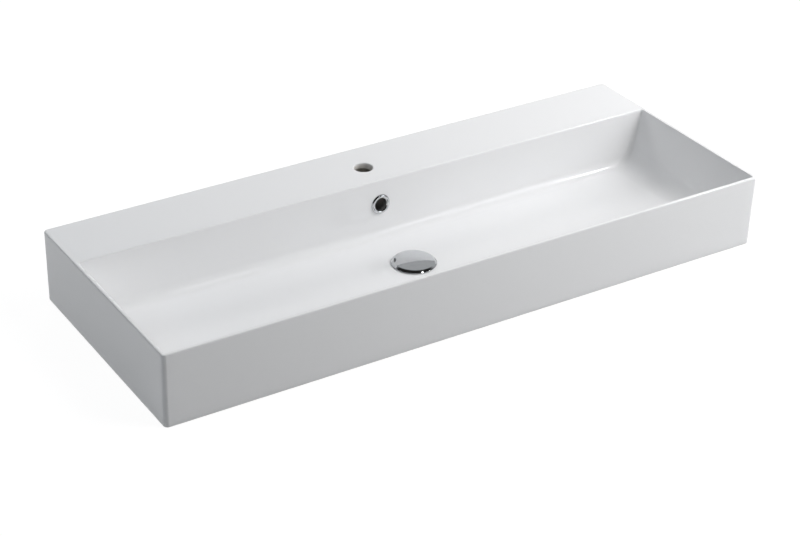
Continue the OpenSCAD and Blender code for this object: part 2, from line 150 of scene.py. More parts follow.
class Graph:
    """Builds the node tree of one material or world."""

    def __init__(self, tree: Any) -> None:
        """Clears the tree, so that only what is asked for is in it."""
        self.tree = tree
        tree.nodes.clear()

    def node(
        self,
        kind: str,
        settings: Mapping[str, Any] | None = None,
        inputs: Mapping[Any, Any] | None = None,
        output: Any = 0,
    ) -> Sock:
        """Adds any node.

        Args:
            kind: the node's Blender type.
            settings: properties that are set first.
            inputs: values or links for its sockets, by name or number.
            output: name or number of the socket that is returned.

        Returns:
            The chosen output.
        """
        made = self.tree.nodes.new(kind)
        for name, value in (settings or {}).items():
            setattr(made, name, value)
        for key, value in (inputs or {}).items():
            self.feed(made.inputs[key], value)
        return Sock(self, made.outputs[output])

    def feed(self, target: Any, value: Any) -> None:
        """Links a socket to an input, or sets the input's own value.

        Args:
            target: the input.
            value: the Sock that feeds it, or its own value.
        """
        if isinstance(value, Sock):
            self.tree.links.new(value.socket, target)
        else:
            target.default_value = value

    def place(self) -> Sock:
        """Object coordinates, which on these pieces are the part's own frame in metres."""
        return self.node("ShaderNodeTexCoord", output="Object")

    def moved(self, shift: Sequence[float] = (0, 0, 0), scale: Sequence[float] = (1, 1, 1)) -> Sock:
        """Object coordinates moved and stretched by a Mapping node."""
        inputs = {"Vector": self.place(), "Location": shift, "Scale": scale}
        return self.node("ShaderNodeMapping", None, inputs, "Vector")

    def axis(self, vector: Sock, name: str) -> Sock:
        """One component of a vector."""
        return self.node("ShaderNodeSeparateXYZ", None, {"Vector": vector}, name)

    def noise(self, vector: Sock, size: float, detail: float = 2.0, rough: float = 0.5) -> Sock:
        """Soft noise whose lumps are about size metres across."""
        inputs = {"Vector": vector, "Scale": 1.0 / size, "Detail": detail, "Roughness": rough}
        return self.node("ShaderNodeTexNoise", None, inputs, "Fac")

    def specks(self, vector: Sock, size: float) -> Sock:
        """Distance to the nearest of many scattered points, in units of their spacing."""
        inputs = {"Vector": vector, "Scale": 1.0 / size}
        return self.node("ShaderNodeTexVoronoi", {"feature": "F1"}, inputs, "Distance")

    def attribute(self, name: str) -> Sock:
        """A number that the mesh carries at its points."""
        return self.node("ShaderNodeAttribute", {"attribute_name": name}, output="Fac")

    def mix(self, factor: Any, first: Any, second: Any) -> Sock:
        """A blend of two colours."""
        return self.node("ShaderNodeMix", {"data_type": "RGBA"}, {0: factor, 6: first, 7: second}, 2)

    def bump(self, height: Sock, depth: float, strength: float) -> Sock:
        """A normal tilted by a height that runs over depth metres."""
        inputs = {"Height": height, "Distance": depth, "Strength": strength}
        return self.node("ShaderNodeBump", None, inputs, "Normal")

    def principled(self, colour: Any, rough: Any, normal: Sock, **fixed: float) -> Sock:
        """A surface shader.

        Args:
            colour: its base colour.
            rough: its roughness.
            normal: its tilted normal.
            fixed: values of other sockets, the same all over the surface.

        Returns:
            The shader.
        """
        inputs = {"Base Color": colour, **fixed, "Roughness": rough, "Normal": normal}
        return self.node("ShaderNodeBsdfPrincipled", None, inputs, "BSDF")

    def matt(self, colour: Any) -> Sock:
        """A plain matt shader."""
        return self.node("ShaderNodeBsdfDiffuse", None, {"Color": colour}, "BSDF")

    def clear(self) -> Sock:
        """A shader that lets everything through."""
        return self.node("ShaderNodeBsdfTransparent", None, None, 0)

    def shine(self, kind: str, colour: Any, strength: float) -> Sock:
        """A shader that gives light of its own."""
        return self.node(kind, None, {"Color": colour, "Strength": strength}, 0)

    def choose(self, factor: Any, first: Sock, second: Sock) -> Sock:
        """The first shader where the factor is 0 and the second where it is 1."""
        return self.node("ShaderNodeMixShader", None, {0: factor, 1: first, 2: second}, 0)

    def ray(self, kind: str) -> Sock:
        """1 for light rays of one kind, 0 for the others."""
        return self.node("ShaderNodeLightPath", None, None, kind)

    def backface(self) -> Sock:
        """1 on the back of a face, 0 on its front."""
        return self.node("ShaderNodeNewGeometry", None, None, "Backfacing")

    def finish(self, shader: Sock, kind: str = "ShaderNodeOutputMaterial") -> None:
        """Feeds the output node."""
        out = self.tree.nodes.new(kind)
        self.feed(out.inputs["Surface"], shader)


def grey(level: float) -> Colour:
    """A neutral colour of one linear level."""
    return (level, level, level, 1.0)


@dataclass(frozen=True)
class Finish:
    """A finish: its name and the way its nodes are laid."""

    name: str

    def paint(self, graph: Graph) -> Sock:
        """Lays the nodes and returns the shader. Each finish has its own.

        Args:
            graph: the material's graph.

        Returns:
            The shader.
        """
        raise NotImplementedError

    def material(self) -> bpy.types.Material:
        """Makes the Blender material.

        Returns:
            The new material.
        """
        made = bpy.data.materials.new(self.name)
        made.use_nodes = True
        graph = Graph(made.node_tree)
        graph.finish(self.paint(graph))
        return made


@dataclass(frozen=True)
class Glaze(Finish):
    """White sanitary glaze over a fired body.

    The glaze is glossy and lies in long, very low waves with a finer ripple. It thins a little over the sharp
    edges, where the warmer body shows through, and stops just above the foot. Where the skin's glaze value is 0
    the body is bare: matt, sandy, with pinholes and kiln dust, and a little darker than fired clay really is; that
    extra darkness is painted shade for the inside of the tap hole.
    """

    white: Colour = (0.837, 0.836, 0.84, 1.0)
    thin: Colour = (0.79, 0.785, 0.77, 1.0)
    # The bare body's colour, partly its own and partly painted shade: darker than real fired clay so that the tap
    # hole's bare wall looks shaded.
    biscuit_and_shade: Colour = (0.62, 0.60, 0.57, 1.0)
    dusty: Colour = (0.52, 0.50, 0.465, 1.0)

    def paint(self, graph: Graph) -> Sock:
        """Lays glaze over the bare body, whose colour is partly painted shade, mixed by the skin's glaze value.

        Args:
            graph: the material's graph.

        Returns:
            The shader.
        """
        place = graph.place()
        height = graph.axis(place, "Z")
        wander = graph.noise(place, 0.02, 3.0)
        foot = (height - 0.0009 * wander).ramp(0.0002, 0.0009)
        covered = graph.attribute("glaze") * foot
        edge = graph.attribute("edge")
        pool = graph.noise(place, 0.16, 1.0)
        grain = graph.noise(place, 0.0012, 4.0, 0.65)
        pits = graph.specks(place, 0.006).ramp(0.05, 0.12)
        # The bare body: grain and pits over a colour that is partly painted shade.
        body = graph.mix((grain * 0.7 + (1 - pits) * 0.6).clamped(), self.biscuit_and_shade, self.dusty)
        coat = graph.mix((edge * 0.35 + (pool - 0.5) * 0.12).clamped(), self.white, self.thin)
        colour = graph.mix(covered, body, coat)
        waves = graph.noise(place, 0.09, 1.0) * 0.9 + graph.noise(place, 0.011, 2.0) * 0.035
        relief = covered * waves + (1 - covered) * (grain * 0.5 + pits * 0.5)
        rough = (1 - covered) * (0.62 + grain * 0.2) + covered * (0.055 + pool * 0.03)
        return graph.principled(colour, rough, graph.bump(relief, 0.00022, 0.6), IOR=1.5)


@dataclass(frozen=True)
class Metal(Finish):
    """A plated or turned metal: its colour, its gloss, and how it was worked.

    The turned value is the depth of the fine turning marks, rings round the waste's axis that change along the
    radius. The plate wears a little duller in soft patches.
    """

    colour: Colour = (0.665, 0.675, 0.685, 1.0)
    tarnish: Colour = (0.60, 0.61, 0.625, 1.0)
    gloss: float = 0.04
    patch: float = 0.05
    turned: float = 0.0
    axis_y: float = -0.021

    def paint(self, graph: Graph) -> Sock:
        """Lays soft patches, turning marks and a fine haze.

        Args:
            graph: the material's graph.

        Returns:
            The shader.
        """
        place = graph.moved((0.0, -self.axis_y, 0.0))
        across = graph.axis(place, "X")
        along = graph.axis(place, "Y")
        radius = (across * across + along * along) ** 0.5
        ring = graph.node("ShaderNodeCombineXYZ", None, {"X": radius, "Y": graph.axis(place, "Z")}, "Vector")
        marks = graph.noise(ring, 0.00022, 2.0)
        haze = graph.noise(place, 0.009, 4.0, 0.6)
        worn = haze.ramp(0.45, 0.75)
        colour = graph.mix(worn * 0.5, self.colour, self.tarnish)
        rough = self.gloss + worn * self.patch + marks * (self.turned * 0.12)
        normal = graph.bump(marks * self.turned + haze * 0.05, 0.00003, 0.5)
        return graph.principled(colour, rough, normal, Metallic=1.0)


@dataclass(frozen=True)
class Rubber(Finish):
    """Moulded black rubber, with a faint bloom and a fine moulded grain."""

    dark: Colour = (0.018, 0.018, 0.019, 1.0)
    bloom: Colour = (0.055, 0.056, 0.058, 1.0)

    def paint(self, graph: Graph) -> Sock:
        """Lays the bloom in patches over the dark rubber.

        Args:
            graph: the material's graph.

        Returns:
            The shader.
        """
        place = graph.place()
        patch = graph.noise(place, 0.008, 4.0, 0.6).ramp(0.4, 0.8)
        grain = graph.noise(place, 0.0007, 3.0, 0.7)
        colour = graph.mix(patch, self.dark, self.bloom)
        return graph.principled(colour, 0.55 + patch * 0.2, graph.bump(grain, 0.00006, 0.6))


@dataclass(frozen=True)
class Plastic(Finish):
    """Moulded plastic with slight flow clouding and a satin skin."""

    tone: Colour = (0.80, 0.80, 0.79, 1.0)
    cloud: Colour = (0.73, 0.73, 0.71, 1.0)
    satin: float = 0.34

    def paint(self, graph: Graph) -> Sock:
        """Lays flow clouds and a satin texture.

        Args:
            graph: the material's graph.

        Returns:
            The shader.
        """
        place = graph.place()
        flow = graph.noise(graph.moved(scale=(1.0, 1.0, 0.3)), 0.006, 3.0)
        grain = graph.noise(place, 0.0005, 2.0)
        colour = graph.mix(flow.ramp(0.35, 0.7), self.tone, self.cloud)
        return graph.principled(colour, self.satin + grain * 0.12, graph.bump(grain, 0.00003, 0.5))


@dataclass(frozen=True)
class StudioFloor(Finish):
    """The pale floor: white to the camera and in reflections, matt grey to the light, and clear from below."""

    def paint(self, graph: Graph) -> Sock:
        """Lays the matt floor, the white that is seen instead, and the clear back.

        Args:
            graph: the material's graph.

        Returns:
            The shader.
        """
        matt = graph.matt(graph.mix(graph.noise(graph.place(), 0.4, 2.0), grey(0.50), grey(0.54)))
        glow = graph.shine("ShaderNodeEmission", grey(1.0), 1.09)
        white = graph.choose(0.86, graph.matt(grey(0.9)), glow)
        seen = graph.ray("Is Camera Ray") + graph.ray("Is Glossy Ray") + graph.ray("Is Transmission Ray")
        top = graph.choose(seen.clamped(), matt, white)
        return graph.choose(graph.backface(), top, graph.clear())


@dataclass(frozen=True)
class StudioCover(Finish):
    """The floor under the basin: matt, but clear from below and to the light of the lamp there."""

    def paint(self, graph: Graph) -> Sock:
        """Lays the matt floor and what is clear of it.

        Args:
            graph: the material's graph.

        Returns:
            The shader.
        """
        matt = graph.matt(graph.mix(graph.noise(graph.place(), 0.1, 2.0), grey(0.46), grey(0.54)))
        through = (graph.backface() + graph.ray("Is Shadow Ray")).clamped()
        return graph.choose(through, matt, graph.clear())


FINISHES: dict[Slot, Finish] = {
    Slot.CERAMIC: Glaze("white_glaze"),
    Slot.CHROME: Metal("bright_chrome"),
    Slot.BRASS: Metal("turned_brass", (0.72, 0.52, 0.24, 1.0), (0.50, 0.36, 0.19, 1.0), 0.16, 0.22, 1.0),
    Slot.RUBBER: Rubber("moulded_rubber"),
    Slot.PLASTIC: Plastic("white_plastic"),
    Slot.ACETAL: Plastic("ivory_acetal", (0.74, 0.72, 0.66, 1.0), (0.67, 0.65, 0.58, 1.0), 0.28),
    Slot.SPRING: Metal("drawn_steel", (0.55, 0.56, 0.58, 1.0), (0.40, 0.40, 0.41, 1.0), 0.22, 0.14, 0.4),
}


@dataclass
class Workshop:
    """Hands out one Blender material for each slot."""

    made: dict[Slot, bpy.types.Material] = field(default_factory=dict)

    def material(self, slot: Slot) -> bpy.types.Material:
        """The slot's material, made when it is first asked for.

        Args:
            slot: the finish that is asked for.

        Returns:
            Its material.
        """
        if slot not in self.made:
            self.made[slot] = FINISHES[slot].material()
        return self.made[slot]

    def fit(
        self,
        piece: bpy.types.Object,
        slot: Slot,
        body: str,
        *nodes: str,
        stretch: tuple[str, Sequence[float], Sequence[float]] | None = None,
    ) -> None:
        """Dresses a new piece, lets it ride on its body unless stretch is given, and puts it in the place of CAD
        nodes.

        Args:
            piece: the new object.
            slot: its finish.
            body: the CAD body that it moves with.
            nodes: the CAD nodes that it stands for.
            stretch: the body that a stretching piece's far end would move with, and the points in millimetres where
            it would begin and end to stretch. Only whether it is given is used: such a piece stays where it is
            made.
        """
        piece.data.materials.append(self.material(slot))
        if stretch is None:
            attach(piece, body)
        else:
            other, start, end = stretch
            tuple(v * MM for v in start)
            tuple(v * MM for v in end)
            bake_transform(piece)
        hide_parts(*nodes)
        log.info("piece %s: %d faces on %s", piece.name, len(piece.data.polygons), body)

    def dress(self, node: str, slot: Slot) -> None:
        """Gives a CAD node its procedural material and keeps its mesh as it is.

        Args:
            node: the CAD node.
            slot: its finish.
        """
        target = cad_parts[node]
        if not target.data.materials:
            target.data.materials.append(self.material(slot))
        for index in range(len(target.data.materials)):
            target.data.materials[index] = self.material(slot)
        log.info("dressed %s", node)


def full_turn(count: int) -> Array:
    """Angles of a full turn in even steps."""
    return np.arange(count) * 2 * np.pi / count


class Patchwork:
    """Collects grids, strips and sewn rings of points, and makes one mesh of them."""

    def __init__(self) -> None:
        """Starts with no points."""
        self.points: list[Array] = []
        self.glaze: list[Array] = []
        self.edge: list[Array] = []
        self.faces: list[Array] = []
        self.count = 0

    def add(self, points: Array, glaze: Any = 1.0, edge: Any = 0.0) -> Array:
        """Adds points of any grid shape.

        Args:
            points: array whose last axis is x, y, z.
            glaze: 1 where glazed, 0 where bare, one value or one a point.
            edge: 1 on a worn edge, 0 elsewhere, one value or one a point.

        Returns:
            The points' numbers, in the grid's shape.
        """
        shape = points.shape[:-1]
        size = int(np.prod(shape))
        self.points.append(points.reshape(-1, 3))
        self.glaze.append(np.broadcast_to(glaze, shape).reshape(-1))
        self.edge.append(np.broadcast_to(edge, shape).reshape(-1))
        ids = np.arange(self.count, self.count + size).reshape(shape)
        self.count += size
        return ids

    def skin(self, ids: Array, closed: bool = False, keep: Array | None = None) -> Array:
        """Covers a grid of point numbers with quads.

        Args:
            ids: point numbers, rings by stations.
            closed: whether the last station joins the first.
            keep: which quads are kept, all of them where it is None.

        Returns:
            The same numbers.
        """
        ahead = np.roll(ids, -1, axis=1)
        quads = np.stack([ids[:-1], ahead[:-1], ahead[1:], ids[1:]], axis=-1)
        if not closed:
            quads = quads[:, :-1]
        if keep is not None:
            quads = quads[keep[:, : quads.shape[1]]]
        self.faces.append(quads.reshape(-1, 4))
        return ids

    def sew(self, first: Array, second: Array, centre: Array, right: Array, up: Array) -> None:
        """Sews two closed rings of any two counts into a band of triangles.

        Both rings are sorted by their angle round the centre, in the plane of right and up. Walking round, the
        ring whose next point comes first steps on, and each step makes one triangle with the point where the
        other ring stands.

        Args:
            first: point numbers of one ring.
            second: point numbers of the other.
            centre: the point that the angles are taken from.
            right: the direction of angle zero.
            up: the direction of a quarter turn.
        """
        every = np.concatenate(self.points)
        rings, angles = [], []
        for ids in (first, second):
            ids = ids.reshape(-1)
            reach = every[ids] - centre
            angle = np.arctan2(reach @ up, reach @ right)
            order = np.argsort(angle, kind="stable")
            rings.append(np.append(ids[order], ids[order[0]]))
            angles.append(np.append(angle[order], angle[order[0]] + 2 * np.pi))
        at_second = np.searchsorted(angles[1][1:], angles[0][1:], "right")
        at_first = np.searchsorted(angles[0][1:], angles[1][1:], "left")
        self.faces.append(np.stack([rings[0][:-1], rings[0][1:], rings[1][at_second]], axis=-1))
        self.faces.append(np.stack([rings[1][:-1], rings[1][1:], rings[0][at_first]], axis=-1))

    def cap(self, ring: Array, point: Array, glaze: float = 1.0) -> None:
        """Closes a ring with a fan of triangles to one point.

        Args:
            ring: point numbers round the ring.
            point: the point where the triangles meet.
            glaze: glaze value of that point.
        """
        middle = self.add(np.asarray(point, float).reshape(1, 3), glaze)
        ring = ring.reshape(-1)
        self.faces.append(np.stack([ring, np.roll(ring, -1), np.broadcast_to(middle, ring.shape)], axis=-1))

    def bore(
        self,
        mouth: Array,
        foot: Array,
        centre: Array,
        right: Array,
        up: Array,
        profile: Array,
        glaze: Any = 1.0,
        edge: Any = 0.0,
        count: int = 72,
    ) -> None:
        """Sews a round hole between two openings of the skin.

        A point of the hole is centre + r (right cos t + up sin t) - d (right x up), where r and d, its radius and
        its depth, come from the profile and t goes once round.

        Args:
            mouth: point numbers round the opening on the first face.
            foot: point numbers round the opening on the second face.
            centre: middle of the hole on the first face.
            right: first direction across the hole.
            up: second direction across the hole.
            profile: rows of radius and depth, from the first face to the second.
            glaze: glaze value of the rings.
            edge: edge value of the rings.
            count: points round the hole.
        """
        turn = full_turn(count)
        out = np.cross(right, up)
        spoke = np.cos(turn)[:, None] * right + np.sin(turn)[:, None] * up
        rings = centre + profile[:, 0, None, None] * spoke - profile[:, 1, None, None] * out
        shaped = [np.broadcast_to(np.asarray(v, float).reshape(-1, 1), rings.shape[:2]) for v in (glaze, edge)]
        ids = self.skin(self.add(rings, shaped[0], shaped[1]), closed=True)
        self.sew(mouth, ids[0], centre, right, up)
        self.sew(ids[-1], foot, centre, right, up)

    def spin(
        self,
        rows: Array,
        centre: Sequence[float],
        right: Sequence[float] = (1.0, 0.0, 0.0),
        up: Sequence[float] = (0.0, 1.0, 0.0),
        count: int = 96,
        flats: float | None = None,
        glaze: float = 1.0,
    ) -> None:
        """Turns an outline round an axis.

        A point is centre + r (right cos t + up sin t) + h (right x up), where r and h are the outline's radius and
        height and t goes once round. With flats, r is held under that of a hexagon, flats / 2 over the cosine
        of the angle from the middle of its side, and h follows the row's slope back by as much.

        Args:
            rows: radius and height of the outline, and with flats its slope. One that starts on the axis ends on
                it too and is closed by a point at each end; any other closes on itself.
            centre: origin of the radius and the height.
            right: first direction across the axis.
            up: second direction across the axis.
            count: points round the axis.
            flats: width of the hexagon over its flats.
            glaze: glaze value of the points.
        """
        turn = full_turn(count)
        across, over = np.asarray(right, float), np.asarray(up, float)
        out = np.cross(across, over)
        solid = rows[0, 0] < 1e-6
        body = rows[1:-1] if solid else rows
        radius = np.repeat(body[:, :1], count, axis=1)
        rise = np.repeat(body[:, 1:2], count, axis=1)
        if flats is not None:
            radius = np.minimum(radius, flats / 2 / np.cos(np.mod(turn, np.pi / 3) - np.pi / 6))
            rise = rise + (radius - body[:, :1]) * body[:, 2:3]
        spoke = np.cos(turn)[:, None] * across + np.sin(turn)[:, None] * over
        ids = self.add(np.asarray(centre, float) + radius[..., None] * spoke + rise[..., None] * out, glaze)
        if solid:
            self.skin(ids, closed=True)
            self.cap(ids[0], centre + rows[0, 1] * out, glaze)
            self.cap(ids[-1], centre + rows[-1, 1] * out, glaze)
        else:
            self.skin(np.concatenate([ids, ids[:1]]), closed=True)

    def loft(self, rings: Array) -> None:
        """Joins closed rings in a row and closes the first and the last with a fan each.

        Args:
            rings: array of rings by points by x, y, z.
        """
        ids = self.skin(self.add(rings), closed=True)
        self.cap(ids[0], rings[0].mean(0))
        self.cap(ids[-1], rings[-1].mean(0))

    def make(self, name: str, smooth_under: float = 34.0) -> bpy.types.Object:
        """Makes the object in metres.

        Args:
            name: the object's name.
            smooth_under: edges that turn by less than this many degrees are shaded smooth.

        Returns:
            The new object, linked to the scene.
        """
        mesh = bpy.data.meshes.new(name)
        points = np.concatenate(self.points) * MM
        faces = [row for part in self.faces for row in part.tolist()]
        mesh.from_pydata(points.tolist(), [], faces)
        for label, parts in (("glaze", self.glaze), ("edge", self.edge)):
            values = np.concatenate(parts).astype(np.float32)
            if np.ptp(values) > 0:
                mesh.attributes.new(label, "FLOAT", "POINT").data.foreach_set("value", values)
        sewn = bmesh.new()
        sewn.from_mesh(mesh)
        bmesh.ops.remove_doubles(sewn, verts=sewn.verts, dist=0.004 * MM)
        bmesh.ops.dissolve_degenerate(sewn, edges=sewn.edges, dist=0.002 * MM)
        bmesh.ops.recalc_face_normals(sewn, faces=sewn.faces)
        open_edges = sum(1 for e in sewn.edges if len(e.link_faces) != 2)
        sewn.to_mesh(mesh)
        sewn.free()
        mesh.shade_smooth()
        mesh.set_sharp_from_angle(angle=math.radians(smooth_under))
        piece = bpy.data.objects.new(name, mesh)
        bpy.context.scene.collection.objects.link(piece)
        if open_edges:
            log.warning("%s has %d open or doubled edges", name, open_edges)
        return piece


def rim_of(block: Array) -> Array:
    """Point numbers round the edge of a block of a grid, in walking order."""
    return np.concatenate([block[0, :-1], block[:-1, -1], block[-1, :0:-1], block[:0:-1, 0]])


def lines_from(lines: Array, start: float, count: int, skipped: int = 0) -> slice:
    """A run of grid lines.

    Args:
        lines: places of the grid lines, of which the one nearest to start comes first in the run.
        start: the place where the run starts.
        count: the number of lines in the run.
        skipped: number of grid lines that come before those in lines.

    Returns:
        The numbers of the run's lines.
    """
    first = skipped + int(np.argmin(np.abs(lines - start)))
    return slice(first, first + count)


def open_blocks(ids: Array, keep: Array, spans: Mapping[str, tuple[slice, slice]]) -> dict[str, Array]:
    """Takes the quads of rectangular blocks out of a grid.

    Args:
        ids: the grid's point numbers.
        keep: which of its quads are kept, which is changed here.
        spans: for each block its name, and its rows and columns of points.

    Returns:
        The point numbers round each block, by its name.
    """
    for rows, columns in spans.values():
        keep[rows.start: rows.stop - 1, columns.start: columns.stop - 1] = False
    return {name: rim_of(ids[rows, columns]) for name, (rows, columns) in spans.items()}


def soft_lip(radius: float, size: float, steps: int, level: float = 0.0, rise: float = 1.0) -> Array:
    """Rows of a quarter round that leads from a face into a hole or down a side.

    At an angle a from 0 to 90 degrees its radius is radius + size (1 - sin a) and its height or depth is
    level + rise size (1 - cos a).

    Args:
        radius: where the round ends.
        size: the round's own radius.
        steps: its number of steps.
        level: the face that it starts from.
        rise: 1 where the height or depth grows from the face, -1 where it falls.

    Returns:
        Rows of radius and height or depth.
    """
    a = np.linspace(0, np.pi / 2, steps + 1)
    return np.stack([radius + size * (1 - np.sin(a)), level + rise * size * (1 - np.cos(a))], axis=1)


def rounded(
    corners: Sequence[Sequence[float]], radii: Sequence[float] | float, steps: int = 5, closed: bool = True
) -> Array:
    """An outline with rounded corners.

    At each corner, with unit directions u and v to its neighbours and half angle h, the arc has its centre at
    the corner + r / sin(h) along (u + v), and swings from r / tan(h) along u to the same along v.

    Args:
        corners: the outline's corners in order.
        radii: radius at each corner, or one for all.
        steps: pieces of each arc.
        closed: whether the outline comes back to its start; an open one keeps its two end points as they are.

    Returns:
        Array of points, arc after arc.
    """
    at = np.asarray(corners, float)
    r = np.broadcast_to(np.asarray(radii, float), (len(at),))[:, None]
    u = np.roll(at, 1, axis=0) - at
    v = np.roll(at, -1, axis=0) - at
    u /= np.linalg.norm(u, axis=1, keepdims=True)
    v /= np.linalg.norm(v, axis=1, keepdims=True)
    half = np.arccos(np.clip((u * v).sum(1), -1, 1))[:, None] / 2
    middle = (u + v) / np.linalg.norm(u + v, axis=1, keepdims=True)
    centre = at + middle * r / np.sin(half)
    start = at + u * r / np.tan(half) - centre
    end = at + v * r / np.tan(half) - centre
    swing = np.pi - 2 * half
    s = np.linspace(0, 1, steps + 1)[None, :, None]
    swing = swing[:, :, None]
    arc = (np.sin((1 - s) * swing) * start[:, None] + np.sin(s * swing) * end[:, None]) / np.sin(swing)
    arcs = centre[:, None] + arc
    if closed:
        return arcs.reshape(-1, 2)
    return np.concatenate([at[:1], arcs[1:-1].reshape(-1, 2), at[-1:]])


@dataclass
class Stations:
    """Places round a rounded rectangle that every ring of the casting shares.

    Station k stands at c + r (cos p, sin p), where p is its outward direction, r the corner radius and c a
    point on the rectangle that the corners' centres span. On the long runs c keeps its x, so that holes stay
    square to the grid; near the corners and on the short runs it goes by share.
    """

    run: Array
    share: Array
    limit: float
    corner_steps: int = 12

    def __post_init__(self) -> None:
        """Lists the stations counter-clockwise, from the right end of the back run."""
        ends = np.linspace(0, 1, RUN_END + 1)[1:]
        fixed = np.concatenate([np.full(RUN_END, self.limit), self.run[::-1], np.full(RUN_END, -self.limit)])
        pull = np.concatenate([ends[::-1], np.zeros(len(self.run)), -ends])
        quarter = np.linspace(0, np.pi / 2, self.corner_steps + 1)[1:-1]
        n, c, s = len(fixed), len(quarter), len(self.share)
        short = np.ones(c + s + c)
        self.turn = np.concatenate(
            [
                np.full(n, np.pi / 2), np.pi / 2 + quarter, np.full(s, np.pi), np.pi + quarter,
                np.full(n, 1.5 * np.pi), 1.5 * np.pi + quarter, np.full(s, 2 * np.pi), quarter,
            ]
        )
        self.base = np.concatenate([fixed, -self.limit * short, -fixed, self.limit * short])
        self.pull = np.concatenate([pull, -short, -pull, short])
        self.along = np.concatenate([np.ones(n + c), self.share[::-1], np.zeros(c + n + c), self.share, np.ones(c)])

    def lay(self, half_x: Any, front: Any, back: Any, radius: Any) -> Array:
        """Plan positions of the stations on rings.

        Args:
            half_x: half the width of each ring.
            front: y of its front side.
            back: y of its back side.
            radius: its corner radius.

        Returns:
            Array of x and y, rings by stations.
        """
        cx = self.base + self.pull * (half_x - radius - self.limit)
        low, high = front + radius, back - radius
        cy = low + self.along * (high - low)
        return np.stack([cx + radius * np.cos(self.turn), cy + radius * np.sin(self.turn)], axis=-1)

    def end_weight(self) -> Array:
        """0 on the short sides, 1 on the long ones, and smooth through the corners."""
        return np.sin(self.turn) ** 2

    def back_weight(self) -> Array:
        """1 on the back run and 0 elsewhere, smooth through the back corners."""
        return np.clip(np.sin(self.turn), 0, 1) ** 2


@dataclass
class Slope:
    """A leaning wall and the round that joins it to the floor.

    The wall's distance from the middle at height z is run - (top - z) tan(lean). The round is an arc of the
    given radius that touches the wall and a floor that rises by fall towards it.
    """

    lean: float
    radius: float
    fall: float
    top: float

    def reach(self, run: Any, z: Array, foot: Any) -> Array:
        """Distance of the surface from the middle at a height.

        Args:
            run: distance of the wall's line at the top.
            z: heights.
            foot: height of the floor where the round begins.

        Returns:
            Distances, on the wall above the round and on the arc below.
        """
        lean, fall = math.radians(self.lean), math.radians(self.fall)
        centre = foot + self.radius * math.cos(fall)
        touch = centre - self.radius * math.sin(lean)
        wall = run - (self.top - z) * math.tan(lean)
        middle = run - (self.top - touch) * math.tan(lean) - self.radius * math.cos(lean)
        arc = middle + self.radius * np.sqrt(np.clip(1 - ((centre - z) / self.radius) ** 2, 0, 1))
        return np.where(z >= touch, wall, arc)

    def height(self, run: float, low: float, distance: Array) -> Array:
        """Height of floor, round and wall at a distance from the middle.

        Args:
            run: distance of the wall's line at the top.
            low: height of the floor in the middle.
            distance: distances from the middle.

        Returns:
            Heights; the wall's line goes on above the top.
        """
        lean, fall = math.radians(self.lean), math.radians(self.fall)
        tl, tf = math.tan(lean), math.tan(fall)
        meet_z = (low + tf * (run - self.top * tl)) / (1 - tf * tl)
        meet_x = run - (self.top - meet_z) * tl
        tangent = self.radius / math.tan(math.radians(90 + self.lean + self.fall) / 2)
        start_x = meet_x - tangent * math.cos(fall)
        start_z = meet_z - tangent * math.sin(fall)
        cx, cz = start_x - self.radius * math.sin(fall), start_z + self.radius * math.cos(fall)
        stop_x = cx + self.radius * math.cos(lean)
        arc = cz - np.sqrt(np.clip(self.radius**2 - (distance - cx) ** 2, 0, None))
        wall = self.top - (run - distance) / tl
        return np.where(distance < start_x, low + distance * tf, np.where(distance < stop_x, arc, wall))


